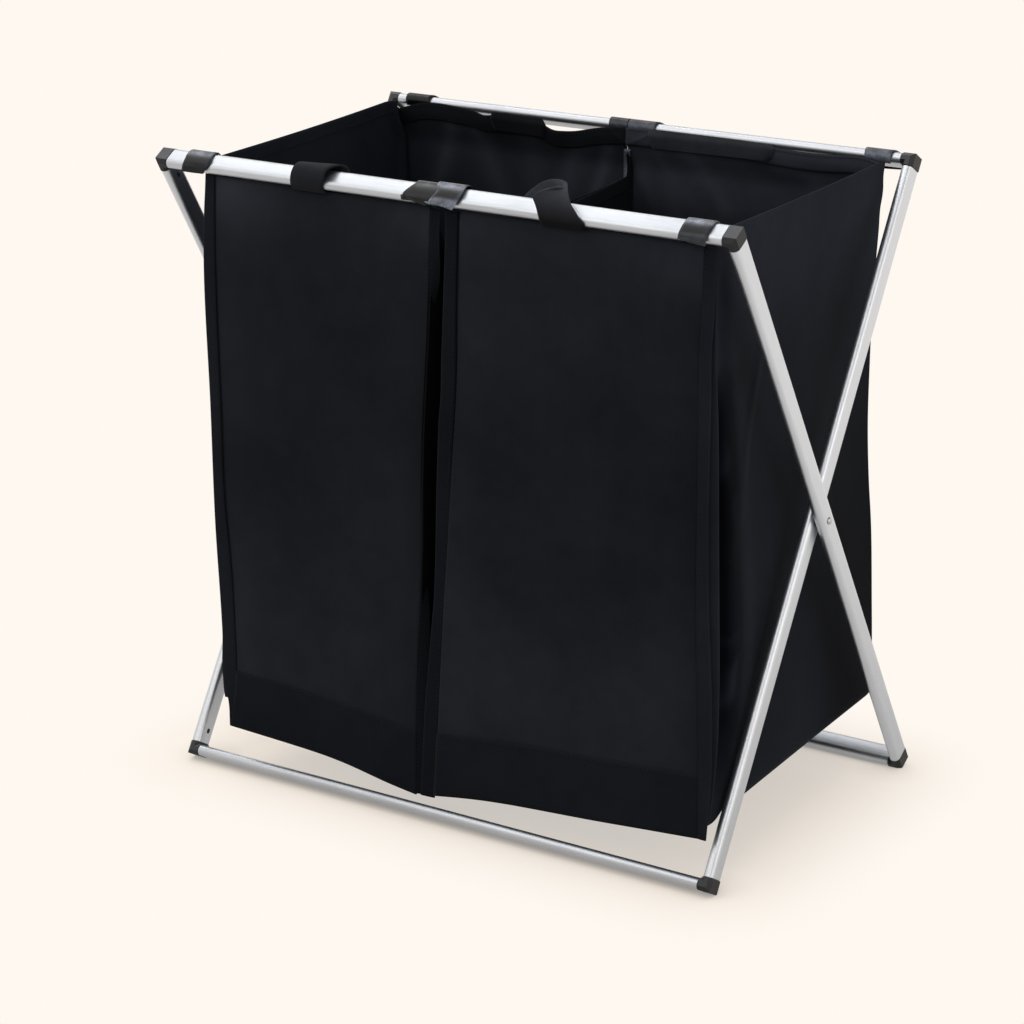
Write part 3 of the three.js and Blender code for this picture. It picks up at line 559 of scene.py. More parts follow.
def stitches(name, lines, body, long=3.0, pitch=4.0, wide=0.7, proud=0.35):
    """Row of stitches along each (line, normals) pair in mm, one every pitch of its length:
    pointed lozenges with a corner at each end and four round the middle, half sunk in."""
    centres, ways, ups = [], [], []
    for line, normals in lines:
        along = np.linalg.norm(np.diff(line, axis=0), axis=1)
        along = np.concatenate([[0], along.cumsum()])
        stops = np.arange(pitch, along[-1] - pitch / 2, pitch)
        slopes = np.gradient(line, along, axis=0)
        for found, values in ((centres, line), (ways, slopes), (ups, normals)):
            found.append(points(*(np.interp(stops, along, part) for part in values.T)))
    centre, way, up = (np.concatenate(values) for values in (centres, ways, ups))
    way = unit(way)
    side = unit(np.cross(way, up))
    up = np.cross(side, way)
    corners = np.stack([
        centre - way * long / 2, centre + side * wide / 2, centre + up * proud,
        centre - side * wide / 2, centre - up * proud, centre + way * long / 2,
    ], axis=1).reshape(-1, 3)
    first = 6 * np.arange(len(centre))[:, None, None]
    faces = (np.array(LOZENGE) + first).reshape(-1, 3)
    mesh = bpy.data.meshes.new(name)
    mesh.from_pydata((corners / 1000).tolist(), [], faces.tolist())
    mesh.polygons.foreach_set("use_smooth", [True] * len(mesh.polygons))
    mesh.materials.append(thread)
    mesh.update()
    piece = add_object(name, mesh)
    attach(piece, body)
    return piece


def facing(grid):
    """Unit normals of a grid of points: the cross product of its two directions at each point."""
    return unit(np.cross(np.gradient(grid, axis=0), np.gradient(grid, axis=1)))


def edge_stitches(name, grid, body):
    """Two rows of stitches on a front or hem, along its grid's first and last row."""
    ahead = np.tile([0.0, -1.0, 0.0], (grid.shape[1], 1))
    stitches(name, [(grid[0], ahead), (grid[-1], ahead)], body)


for bag in ("left", "right"):
    grid = front_grid(bag, PANEL_COLUMNS, rows=40, out=1.0,
                      high=lambda x: smooth_line(x, BAND_TOP[bag]) - 3,
                      low=lambda x: smooth_line(x, feet[bag]) + 3)
    edge_stitches(bag + "_band_stitches", grid, "bag_fronts")


# Bound seams. Where panel and gusset meet, their raw edges stand out as a flange of two plies, each
# folded over and topstitched. The plies part a little along the right-hand edge. Each flange is
# painted paler along its tip and darker in the groove at its root, and some are painted paler or
# darker all over, as light and shade.
SECTION_POINTS, FLANGE_ROWS = 20, 150


def flange(name, root, tip, material, thickness=1.6, body="bag_fronts", painted_shading=0.0):
    """Closed strip between a root line and a tip line, both (rows, 3) in mm. Its section goes
    once round: the cosine to the power 0.55 across it, with its sign kept, and half the
    thickness times the sine through it, thicker near the tip. Stitches run along its front."""
    turn = np.linspace(0, 2 * np.pi, SECTION_POINTS, endpoint=False)
    across = tip - root
    out = unit(np.cross(np.gradient(root, axis=0), across))
    lean = np.sign(np.cos(turn)) * np.abs(np.cos(turn)) ** 0.55
    bead = thickness / 2 * np.sin(turn) * (1 + 0.45 * np.clip(3 * np.cos(turn) - 1.6, 0, 1))
    flat = (root + across / 2)[:, None] + across[:, None] / 2 * lean[None, :, None]
    grid = flat + out[:, None] * bead[None, :, None]
    front = out if out[len(out) // 2, 1] < 0 else -out
    row = root + across * 0.22 + front * thickness / 2
    sewn = stitches(name + "_stitches", [(row, front)], body)
    # Painted highlight along the tip and painted shade at the root, over the flange's own painted
    # shading.
    rubbing_and_painted_shading = painted_shading + 0.5 * step(lean, 0.7, 1) - 0.55 * (1 - step(lean, -1, -0.7))
    return cloth_piece(name, grid, body, material, 0, closed=True, painted_shading=rubbing_and_painted_shading), sewn


z = np.linspace(PANEL_TOP + 1.2, 43.0, FLANGE_ROWS)
root_x = smooth_line(z, seams["left"][0])
tip_x = smooth_line(z, [
    (43, -232.2), (69, -233.4), (82, -237.2), (135, -237.6), (240, -241.6), (344, -242.4),
    (499, -243.7), (559, -239)])
flange("left_bag_left_flange", points(root_x + 1.5, PANEL_FACE - 0.6, z),
       points(tip_x, PANEL_FACE - 1.2, z), edge_cloth, painted_shading=0.15)
z = np.linspace(PANEL_TOP - 1, 69.0, FLANGE_ROWS)
root_x = smooth_line(z, seams["left"][0])
tip_x = smooth_line(z, [
    (69, -239), (76, -240), (105, -240), (135, -238.6), (164, -239.6), (202, -241.9),
    (240, -243.1), (344, -243.9), (408, -244.6), (499, -245.2), (522, -244.2), (559, -240.4)])
flange("left_bag_left_under_flange", points(root_x - 3, PANEL_FACE + 1.7, z),
       points(tip_x, PANEL_FACE + 1.2, z), bag_cloth, thickness=1.2)

# The left bag's right flange turns backwards lower down, by these degrees at these heights.
z = np.linspace(PANEL_TOP - 0.5, 24.0, FLANGE_ROWS)
root_x = smooth_line(z, seams["left"][1])
turned = np.radians(smooth_line(z, [
    (22, 12), (96, 20), (150, 34), (189, 55), (217, 84), (300, 92), (440, 92), (478, 80),
    (496, 45), (521, 10), (559, 2)]))
wide = smooth_line(z, [(22, 5.5), (120, 9.5), (300, 9.5), (520, 9.2), (559, 9)])
tip = points(root_x + wide * np.cos(turned), PANEL_FACE - 0.9 + wide * np.sin(turned), z)
flange("left_bag_right_flange", points(root_x - 1, PANEL_FACE - 0.5, z), tip, edge_cloth,
       painted_shading=-0.25)

root_x = smooth_line(z, seams["right"][0])
tip_x = smooth_line(z, [
    (22, -18.4), (77, -14.9), (115, -12.2), (135, -9.9), (173, -6.2), (211, -2), (248, 0),
    (302, 1.6), (339, 3.1), (375, 5), (392, 6.8), (428, 8.2), (454, 9.5), (497, 11.5), (523, 12.8),
    (559, 13.6)])
flange("right_bag_left_flange", points(root_x + 1.5, PANEL_FACE - 0.6, z),
       points(tip_x, PANEL_FACE - 1.4, z), edge_cloth, painted_shading=-0.25)

# The right-hand flange stands further out than the inner legs.
z = np.linspace(PANEL_TOP - 0.5, 50.4, FLANGE_ROWS)
root_x = smooth_line(z, seams["right"][1])
tip_x = smooth_line(z, [
    (50, 271.8), (68, 273.2), (97, 275.3), (142, 275.6), (195, 273.8), (247, 270.7), (298, 268.7),
    (433, 268.5), (479, 268.4), (499, 269.8), (532, 270.9), (559, 272)])
over = flange("right_bag_right_flange", points(root_x - 1.5, PANEL_FACE - 0.6, z),
              points(tip_x, PANEL_FACE - 1.0, z), edge_cloth, painted_shading=0.25)
z = np.linspace(PANEL_TOP - 1, 66.0, FLANGE_ROWS)
root_x = smooth_line(z, seams["right"][1])
tip_x = smooth_line(z, [
    (66, 271.5), (95, 274.5), (122, 275.8), (194, 276), (246, 274.8), (298, 273.6), (349, 272.4),
    (407, 271.2), (470, 269.6), (559, 270.5)])
back_y = smooth_line(z, [
    (66, -166.5), (120, -163.5), (300, -162.5), (420, -164), (500, -168), (559, -169)])
under = flange("right_bag_right_under_flange", points(root_x + 2.5, PANEL_FACE + 1.9, z),
               points(tip_x, back_y, z), bag_cloth, thickness=1.2, painted_shading=0.3)
for piece in over + under:
    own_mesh(piece)


# Gussets. One long strip of the same cloth makes a bag's outer wall, its bottom and its inner wall.
# It hangs slack: the outer wall dips in, crumples behind the front seam, and the bottom sags.
FRONT_END = -169.2  # Y of a gusset's front edge, just behind the front panel
BACK_FACE = 169.2  # Y of a back panel's inner face
RAIL_SIDE = 157.0  # Y where the back hem lies in front of its rail
FOLD_RADIUS = 17  # of the folds between the walls and the bottom
GULLY_DEPTH = 22  # of the crumpled fold behind the front seam
OUTWARD = {"left": -1, "right": 1}
# (height, X) along the front and back edge of each wall, and the bottom's height at its outer
# and inner edge
walls = {
    "left": {
        "outer": (
            [(40, -230), (100, -231), (200, -234), (400, -236.5), (559, -234)],
            [(40, -262), (300, -259), (559, -264)],
        ),
        "inner": (seams["left"][1], [(24, -12.6), (559, -11.2)]),
        "floor": (58.0, 42.0),
    },
    "right": {
        "outer": (
            [(46, 266.6), (113, 267.2), (175, 266.6), (300, 264.5), (432, 263.5), (481, 264),
             (559, 265.5)],
            [(40, 246), (51, 250), (69, 252.6), (108, 252.1), (157, 250.1), (234, 246.1),
             (271, 242.6), (318, 239.7), (384, 239.2), (439, 239.9), (503, 243.2), (528, 244.6),
             (545, 249), (562, 252.6)],
        ),
        "inner": (seams["right"][0], [(24, -7.4), (559, -8.8)]),
        "floor": (51.5, 42.0),
    },
}


def forward(z):
    """How far a back panel comes forward to its rail's inner side, over its top 34 mm."""
    return (BACK_FACE - RAIL_SIDE) * step(z, 528, 562)


def wall_y(s, z):
    """Y at a share s of the way back, in a straight blend. The back edge follows the back panel."""
    back = BACK_FACE + 0.15 - forward(z)
    return FRONT_END + (back - FRONT_END) * s


def crest_y(z):
    """Y of the crest behind an outer wall's crumpled fold, at each height."""
    return smooth_line(z, [
        (45, -130), (81, -129), (107, -121), (130, -109), (173, -101), (226, -98), (280, -101),
        (334, -105), (378, -109), (421, -115), (559, -135)])


def pucker(y, z):
    """Slanting puckers of the crumpled fold: the fourth power of a sine wave whose length along
    Z varies, times a slower wave that makes some stretches stronger than others."""
    wave = np.sin(z / 19 + 1.7 * np.sin(z / 41 + 1) + 0.6 * np.sin(z / 11) - y / 9) ** 4
    return wave * (0.55 + 0.45 * np.sin(z / 29 + 2))


def wall_x(bag, which, s, z):
    """X of a side wall: a straight blend from its front seam to its back one. An outer wall is
    drawn in between them by slow sine waves, and by a lopsided hump, the crumpled fold, whose
    bottom carries small waves. An inner wall swings out a little behind its front seam."""
    front, back = walls[bag][which]
    y = wall_y(s, z)
    x = smooth_line(z, front) * (1 - s) + smooth_line(z, back) * s
    v = (PANEL_TOP - z) / 500
    out = OUTWARD[bag]
    hang = np.sin(np.pi * np.clip(s, 0, 1)) * np.sin(np.pi * np.clip(v, 0, 1))
    if which == "outer":
        slack = 4.0 * hang + 1.3 * hang * np.sin(5.5 * s + 4 * v)
        slack = slack + 0.8 * np.sin(13 * s - 9 * v) * hang
        crest = crest_y(z)
        deep = GULLY_DEPTH * step(z, 75, 170) * (1 - step(z, 395, 465))
        deep = deep + 4 * step(z, 430, 480) * (1 - step(z, 500, 552))
        middle = crest - 22  # the fold's bottom
        gully = deep * np.where(y < middle, bump(y, middle, 24), bump(y, middle, 11))
        gully = gully + (6 * bump(s, 0.958, 0.016) if bag == "left" else 0)
        ridge = 2.2 * bump(y, crest + 6, 12) * step(z, 90, 200) * (1 - step(z, 380, 440))
        streak_y = smooth_line(z, [(45, -100), (345, -96), (380, -88), (430, -70), (559, -60)])
        streak = 1.1 * bump(y - streak_y, 0, 7) * step(z, 250, 330) * (1 - step(z, 450, 520))
        crumple = 1.2 * np.sin(z / 4.6 + 1.5 * np.sin(z / 31) + y / 9) + 1.0 * pucker(y, z)
        crumple = crumple * bump(y, middle + 2, 14) * deep / GULLY_DEPTH
        seam = step(s, 0, 0.02) * step(1 - s, 0, 0.02)
        return x - out * seam * (slack + gully - ridge + crumple - streak)
    meet = 7.5 * bump(s, 0.2, 0.15) * step(s, 0, 0.06)
    lean = 2.0 * hang * np.sin(2.2 * s * np.pi + 3 * v)
    return x + lean - out * meet


def wall_top(bag, which, s):
    """Height of a side wall's top edge: an outer wall's is level, less a half sine wave, between
    its two corners. An inner one drops behind its front corner, hangs in a half sine wave and
    climbs steeply at its back corner."""
    if which == "outer":
        rise, end = (10.5, 566.0) if bag == "right" else (14.5, 563.0)
        level = PANEL_TOP + rise - 1.5 * np.sin(np.pi * s)
        level = PANEL_TOP - 0.8 + (level - PANEL_TOP + 0.8) * step(s, 0, 0.05)
        return level + (end - level) * step(s, 0.955, 1)
    fall = 31 if bag == "right" else 33
    level = PANEL_TOP - 2 - fall * step(s, 0, 0.06) - 4 * np.sin(np.pi * s)
    return level + 22 * step(s, 0.972, 0.992)


def gusset_grid(bag, rows, wall_rows, bend_rows, floor_rows):
    """Grid of a whole gusset, from the outer wall's top down, round the bottom and up the inner
    wall: walls, quarter-circle folds, and a floor that blends them and sags by two sine waves.
    Rows lie closer at its front and back edge, and the crumpled fold's crest leans forward."""
    even = np.linspace(0, 1, rows)
    s = (0.5 * even + 0.5 * (1 - np.cos(np.pi * even)) / 2)[:, None]
    y = wall_y(s, 300.0)
    low_outer, low_inner = walls[bag]["floor"]
    dents = 3.0 * bump(y, -118, 14) - 3.0 * bump(y, -143, 9)
    low_outer = low_outer + 5.5 * s + dents * (bag == "right")
    low_inner = np.full_like(s, low_inner)
    parts = []
    for which, low in (("outer", low_outer), ("inner", low_inner)):
        t = np.linspace(0, 1, wall_rows)[None]
        top = wall_top(bag, which, s)
        z = top + (low + FOLD_RADIUS - top) * (0.25 * t**2 + 0.75 * t)
        x = wall_x(bag, which, s, z)
        angle = np.linspace(0, np.pi / 2, bend_rows + 1)[None, 1:]
        way = OUTWARD[bag] if which == "outer" else -OUTWARD[bag]
        bend_x = x[:, -1:] - way * FOLD_RADIUS * (1 - np.cos(angle))
        bend_z = low + FOLD_RADIUS * (1 - np.sin(angle))
        parts.append((np.concatenate([x, bend_x], 1), np.concatenate([z, bend_z], 1)))
    (outer_x, outer_z), (inner_x, inner_z) = parts
    t = np.linspace(0, 1, floor_rows + 2)[None, 1:-1]
    floor_x = outer_x[:, -1:] * (1 - t) + inner_x[:, -1:] * t
    sag = 6 * np.sin(np.pi * t) * np.sin(np.pi * s)
    sag = sag + 0.8 * np.sin(11 * t + 9 * s) * np.sin(np.pi * t) * np.sin(np.pi * s)
    floor_z = low_outer * (1 - t) + low_inner * t - sag
    x = np.concatenate([outer_x, floor_x, inner_x[:, ::-1]], axis=1)
    z = np.concatenate([outer_z, floor_z, inner_z[:, ::-1]], axis=1)
    y = wall_y(s + 0 * z, z)
    hood = 13 * step(z, 100, 180) * (1 - step(z, 380, 440)) * bump(y, crest_y(z) - 2, 12)
    hood[:, wall_rows + bend_rows:] = 0
    return points(x, y - hood, z)


def run(line):
    """Length in metres along a line of points in mm."""
    return np.linalg.norm(np.diff(line, axis=0), axis=1).sum() / 1000


GUSSET_ROWS, MEASURED_ROW = 150, 60  # the second is a row that runs clear of the crumpled fold
for bag in ("left", "right"):
    grid = gusset_grid(bag, GUSSET_ROWS, wall_rows=130, bend_rows=10, floor_rows=36)
    y, z, share = grid[..., 1], grid[..., 2], np.linspace(0, 1, GUSSET_ROWS)[:, None]
    # Painted light and shade: painted shade deep in the crumpled fold behind the right bag's front
    # seam, lightened on its slanting puckers; the right outer wall darker low towards the back and
    # around mid-height, paler near the top; the left outer wall a little darker all over; the inner
    # walls darker, most at their front below the top, where they face each other across the gap.
    gully = (1 - step(y - crest_y(z), -6, 4)) * step(z, 55, 120) * (1 - step(z, 385, 450))
    shaded = gully * (0.5 - 0.9 * pucker(y, z) ** 2 * bump(y, crest_y(z) - 15, 9))
    shaded = shaded + 0.55 * step(y, 10, 110) * (1 - step(z, 190, 420))
    shaded = shaded - 0.7 * step(z, 400, 560) + 0.15 * bump(z, 330, 70)
    between = 0.5 * (1 - step(share, 0.2, 0.5)) * (1 - step(z, 500, 530)) + 0.56
    outer = np.arange(grid.shape[1]) < grid.shape[1] / 2
    painted_shading = -np.where(outer, shaded if bag == "right" else 0.18, between)
    gusset = cloth_piece(bag + "_gusset", grid, "bag_fronts", side_cloth, thickness=1.0,
                         node_name=bag + "_bag_gusset", flip=bag == "left", painted_shading=painted_shading)
    rim = np.linspace(0.03, 0.965, 160)
    lines = []
    for which, side in (("outer", OUTWARD[bag]), ("inner", -OUTWARD[bag])):
        z = wall_top(bag, which, rim) - 11
        line = points(wall_x(bag, which, rim, z) - 0.5 * side, wall_y(rim, z), z)
        lines.append((line, np.tile([1.0, 0.0, 0.0], (len(rim), 1))))
    sewn = stitches(bag + "_wall_hem_stitches", lines, "bag_fronts", proud=0.95)
    for piece in (gusset, sewn):
        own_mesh(piece)


# Back panels. The same cut as the front ones but shorter. Each hangs inside the back rail, so
# its hem shows in front of the rail, is held up by the tabs and handles, and droops between them.

# (X, height) along each top and foot, and (height, X) along each left and right edge
back_tops = {
    "left": [
        (-265, 562), (-252, 566), (-236, 570.5), (-221, 571.5), (-200, 570.4), (-179, 568.6),
        (-166, 565.4), (-157, 566.4), (-133, 567.5), (-110, 567), (-99, 563), (-91, 559.6),
        (-77, 559.4), (-66, 560.7), (-45, 565.6), (-28, 568.6), (-12, 570.2)],
    "right": [
        (-8, 570.4), (23, 571), (68, 571), (114, 570.4), (142, 568.6), (167, 567.2), (193, 567.4),
        (233, 569.2), (248, 566.5)],
}
back_sides = {
    "left": (
        [(28, -248), (60, -249.5), (63, -253), (67, -257.5), (73, -261.8), (82, -263.3),
         (300, -260.5), (559, -264.8), (575, -265)],
        [(28, -11.2), (559, -10.5), (575, -10.4)],
    ),
    "right": (
        [(28, -8.8), (559, -9.5), (575, -9.6)],
        [(28, 239.5), (54, 241), (57, 243), (60, 246.5), (66, 251), (75, 253.2), (108, 252.6),
         (157, 250.6), (234, 246.6), (271, 243.1), (318, 240.2), (384, 239.7), (439, 240.4),
         (503, 243.7), (528, 245.1), (545, 249.5), (562, 253.1), (575, 254)],
    ),
}
back_feet = {
    "left": [(-262, 60), (-245, 58.8), (-11, 29)],
    "right": [(-9, 29), (236, 53.8), (250, 54.3)],
}


def crease(x, z, ends, width):
    """Rounded ridge of height 1 along the straight line between two (X, Z) ends: exp of minus
    the square of the distance from it over the width."""
    (x0, z0), (x1, z1) = ends
    t = ((x - x0) * (x1 - x0) + (z - z0) * (z1 - z0)) / ((x1 - x0) ** 2 + (z1 - z0) ** 2)
    t = np.clip(t, 0, 1)
    gone = np.hypot(x - x0 - t * (x1 - x0), z - z0 - t * (z1 - z0))
    return np.exp(-((gone / width) ** 2))


# soft folds of the upper parts, each between two (X, Z) ends, with its width and strength
back_folds = {
    "left": [
        ((-205, 548), (-236, 470), 9, 0.8), ((-178, 545), (-150, 470), 12, 0.6),
        ((-62, 548), (-96, 486), 10, 0.7), ((-30, 545), (-60, 470), 8, 0.9),
        ((-118, 540), (-112, 480), 14, 0.4)],
    "right": [
        ((22, 545), (42, 478), 8, 0.4), ((52, 552), (88, 500), 9, 0.4),
        ((88, 500), (98, 455), 9, 0.3), ((150, 552), (236, 520), 12, 0.7),
        ((180, 530), (220, 486), 10, 0.4)],
}


def back_fold(bag, x, z):
    """Sum of a back panel's folds, each a rounded ridge times its strength."""
    return sum(
        strength * crease(x, z, (start, end), width)
        for start, end, width, strength in back_folds[bag]
    )


# painted shadow below each back handle, between two (X, Z) ends
handle_shade = {"left": ((-150, 540), (-88, 542)), "right": ((104, 540), (195, 538))}


def back_face(bag, x, z):
    """Y of a back panel's inner face: a slack belly, two sine waves that fan out by their angle
    round the middle tab, a slow slanting wave and the soft folds, brought forward at the top."""
    left, right = back_sides[bag]
    left, right = smooth_line(z, left), smooth_line(z, right)
    u, v = (x - left) / (right - left), (PANEL_TOP - z) / 510
    hang = np.sin(np.pi * np.clip(u, 0, 1))
    belly = 3.0 * hang * np.sin(np.pi * np.clip(v, 0, 1) ** 0.75)
    corner = u if bag == "left" else 1 - u
    turn = np.arctan2(1.04 - corner, v + 0.10)
    fan = 1.5 * np.sin(15 * turn + 0.6) + 0.9 * np.sin(27 * turn + 2)
    fan = fan * step(v, 0.04, 0.14) * np.exp(-2.2 * v)
    slow = 1.4 * np.sin(7 * u + 8 * v + (1 if bag == "left" else 3)) * step(v, 0.05, 0.25)
    flat_edge = np.clip(hang * 3, 0, 1)
    pulled = crease(x, z, ((-9, 554), (-28, 567)), 1.6) + crease(x, z, ((-8, 554), (19, 568)), 1.6)
    soft = (belly - fan * hang**0.3 - slow - 3.0 * back_fold(bag, x, z)) * flat_edge
    soft = soft * step(z, 66, 130) * (1 - step(z, 540, 560))
    return BACK_FACE - forward(z) - 0.8 * pulled + soft


def back_grid(bag, columns, rows, high, low, out):
    """Grid over a back panel's inner face, moved inwards by out mm, between two drops below its
    top line, or down to its foot where low is None."""
    u = np.linspace(0, 1, columns)[None]
    left, right = back_sides[bag]
    high_z = np.array([560.0])  # where the top line's X is read
    guess = smooth_line(high_z, left) * (1 - u) + smooth_line(high_z, right) * u
    top = smooth_line(guess, back_tops[bag])
    t = np.linspace(0, 1, rows)[:, None]
    if low is None:
        foot = smooth_line(guess, back_feet[bag])
        z = top + (foot - top) * (0.35 * t**2 + 0.65 * t)
    else:
        z = top - high - (low - high) * t
    x = smooth_line(z, left) * (1 - u) + smooth_line(z, right) * u
    return points(x, back_face(bag, x, z) - out, z)


for bag in ("left", "right"):
    grid = back_grid(bag, columns=120, rows=140, high=0, low=None, out=0)
    drop = grid[:1, :, 2] - grid[..., 2]
    # Painted light and shade: a paler band just below the hem, fading down the panel and strongest
    # on the right bag; paler ridges along the soft folds as painted highlights; both bags darker
    # all over, the right one more; and a painted shadow below each back handle.
    painted_shading = step(drop, 10, 24) * (1 - 0.95 * step(drop, 25, 110)) * (2.5 if bag == "right" else 0.6)
    painted_shading = painted_shading + back_fold(bag, grid[..., 0], grid[..., 2]) + (-0.05 if bag == "left" else -0.45)
    painted_shading = painted_shading - 0.45 * crease(grid[..., 0], grid[..., 2], handle_shade[bag], 20)
    panel = cloth_piece(bag + "_back_panel", grid, "bag_backs", bag_cloth,
                        thickness=1.0, node_name=bag + "_bag_back", painted_shading=painted_shading)
    wide = run(grid[len(grid) // 2])
    grid = back_grid(bag, columns=120, rows=14, high=0.2, low=16.5, out=0.8)
    # The hems are painted darker on the left bag and much paler on the right one, as shade and
    # light.
    hem = cloth_piece(bag + "_back_hem", grid, "bag_backs", bag_cloth, thickness=0.5,
                      painted_shading=-0.35 if bag == "left" else 1.9)
    grid = back_grid(bag, columns=160, rows=3, high=2.5, low=14.5, out=1.0)
    edge_stitches(bag + "_back_hem_stitches", grid, "bag_backs")

# The two bags' inner corners are bound together below the hem, in one upright rib, painted many
# times paler than the cloth as a painted highlight where its edges catch the light.
z = np.linspace(549, 509, 30)
rib_y = BACK_FACE - forward(z) - 1.6
rib_x = -8.2 - 0.6 * (rib_y - RAIL_SIDE)
flange("middle_corner_rib", points(rib_x - 3.3, rib_y, z), points(rib_x + 3.3, rib_y, z),
       bag_cloth, thickness=2.4, body="bag_backs", painted_shading=8.0)


# Tabs. Strips of coated cloth, like smooth faux leather, sewn to the hems. Each goes over its
# rail and closes on itself with hook and loop tape, with a stitched hem round its free end.
# The smooth coat gives broad soft highlights, broken by creases and fine pebbles, and painted
# highlights brighten it over the bend, near the free end and along its side edges.
coated, tree = new_material("coated_black_cloth")
where = node(tree, "UVMap", {"uv_map": "cloth"})
PEBBLE_MM = 0.9  # real pebbles are some 0.5 mm, too fine to show
pebbles = node(tree, "TexVoronoi", {"feature": "SMOOTH_F1"}, Vector=where,
               Scale=1000 / PEBBLE_MM)
# creases some 8 mm apart
creases = node(tree, "TexNoise", Vector=where, Scale=120.0, Detail=4.0, Roughness=0.6)
height = node(tree, "Math", {"operation": "MULTIPLY_ADD"}, in_0=pebbles, in_1=-0.35, in_2=creases)
tone = node(tree, "ValToRGB", Fac=creases)
for stop, share, code in zip(tone.color_ramp.elements, (0.35, 0.70), ("#08090b", "#131417")):
    stop.position, stop.color = share, linear(code)
surface(tree, painted_shading_tone(tree, tone), creases, rough=(0.20, 0.32), strength=0.25, depth=0.0002,
        height=height, Specular_IOR_Level=0.26)

RAIL_Y, RAIL_Z = 168.5, 567.736  # middle of a top rail
RAIL_REACH, RAIL_HALF_WIDTH = 10, 5  # half its section's long way, along the legs, and short way
HANG_ANGLE, END_ANGLE = 196, 210  # degrees round the rail where a tab hangs free, and its end
TAB_ROWS, END_ROWS, TAB_COLUMNS = 44, 8, 13


def rail_wrap(row, angles, clearance):
    """(Y, Z) in mm round a top rail, for angles in degrees from straight in towards the bag, over
    the top and down outside: a superellipse of power 2.3, leaning as the legs do, whose two
    half widths are the rail's plus a clearance."""
    a = np.radians(angles)
    inward, up = np.cos(a), np.sin(a)
    deep = inward * math.cos(TILT) + up * math.sin(TILT)
    across = up * math.cos(TILT) - inward * math.sin(TILT)
    power = 2.3
    size = np.abs(deep / (RAIL_REACH + clearance)) ** power
    size = (size + np.abs(across / (RAIL_HALF_WIDTH + clearance)) ** power) ** (-1 / power)
    return row * (RAIL_Y - size * inward), RAIL_Z + size * up


def tab(node_name, row, edges, ends, rubbing_and_painted_shading, gap=2.4):
    """Strip round a top rail, of row -1 in front and 1 behind. edges gives (angle, left X, right X)
    along it, from where it leaves the hem, and ends the heights of its free end from left to right.
    The fourth argument gives painted highlights, or painted shade below zero: how much paler the
    strip is painted inside the rail, over the bend and near the free end; its side edges from the
    bend down are painted paler too. Its two edges follow smooth lines, and it curls by the square
    of the distance across."""
    name, body = node_name + "_strip", "frame_outer" if row < 0 else "frame_inner"
    angles = np.linspace(edges[0][0], HANG_ANGLE, TAB_ROWS)
    y, z = rail_wrap(row, angles, gap)
    end = np.linspace(0, 1, END_ROWS + 1)[1:]
    angles = np.concatenate([angles, HANG_ANGLE + (END_ANGLE - HANG_ANGLE) * end])
    y = np.concatenate([y, y[-1] + row * 0.5 * end])
    across = np.linspace(0, 1, TAB_COLUMNS)
    left = smooth_line(angles, [(angle, x) for angle, x, _ in edges])[:, None]
    right = smooth_line(angles, [(angle, x) for angle, _, x in edges])[:, None]
    x = left + (right - left) * across
    foot = smooth_line(across, list(zip(np.linspace(0, 1, len(ends)), ends)))[None]
    z = np.concatenate([z[:, None] + 0 * across, z[-1] + (foot - z[-1]) * end[:, None]])
    curl = 0.7 * (2 * across - 1) ** 2 * step(angles, 150, 205)[:, None]
    grid = points(x, y[:, None] + row * curl, z)
    top = 18  # the row near the rail's top, from which the stitches go down, across and up again
    sewn, ups = (
        np.concatenate([part[top:-3, 1], part[-3, 2:-2], part[-4:top - 1:-1, -2]])
        for part in (grid, -row * facing(grid))
    )
    stitches(name + "_stitches", [(sewn, ups)], body, long=2.2, pitch=3, wide=0.5,
             proud=0.25)
    inside, over, near_end = rubbing_and_painted_shading
    # Painted highlights, and painted shade where negative, inside the rail, over the bend, near the
    # free end and along the side edges.
    painted_shading = inside * bump(angles, 20, 32) + over * bump(angles, 90, 24)
    painted_shading = (painted_shading + near_end * step(angles, 168, 182))[:, None]
    hem = step(np.abs(2 * across - 1), 0.75, 0.95) * step(angles, 100, 150)[:, None]
    painted_shading = painted_shading + (2 + near_end / 2) * hem
    cloth_piece(name, grid, body, coated, thickness=1.1, node_name=node_name,
                flip=row > 0, painted_shading=painted_shading)


tab("left_bag_front_left_tab", -1,
    [(-64, -257, -231), (90, -259.6, -233), (180, -257.9, -231.4), (210, -258.3, -235.2)],
    [561.0, 560.8, 561.2], (0, 45, 0))
tab("left_bag_front_right_tab", -1,
    [(-64, -28, -3), (90, -18.6, 9), (140, -21.5, 11), (180, -24.6, 8), (210, -24.3, -0.6)],
    [568.0, 564.6, 562.9, 561.9, 561.3], (0, 11, 0))
tab("right_bag_front_left_tab", -1,
    [(-64, 2, 28), (90, 3.4, 30.9), (140, 7.4, 31.9), (180, 4.5, 30.8), (210, 0.6, 27)],
    [565.4, 563.0, 560.8], (0, 48, 34), gap=3.7)
tab("right_bag_front_right_tab", -1,
    [(-64, 240, 265), (90, 240.6, 265.8), (180, 240.4, 265.6), (210, 240.1, 265.1)],
    [563.4, 561.2, 560.2], (0, 50, 5))
tab("left_bag_back_left_tab", 1, [(-12, -256, -230), (90, -256, -229), (210, -253, -226)],
    [560.0, 559.0], (-0.4, -0.4, 0))
tab("left_bag_back_right_tab", 1, [(-12, -27.4, -8.4), (90, -29.2, -8.2), (210, -27, -6)],
    [560.0, 559.0], (8, 8, 0))
tab("right_bag_back_left_tab", 1, [(-12, -7.6, 19.5), (90, -7.8, 21), (210, -4, 25)],
    [560.0, 559.0], (17, 17, 0))
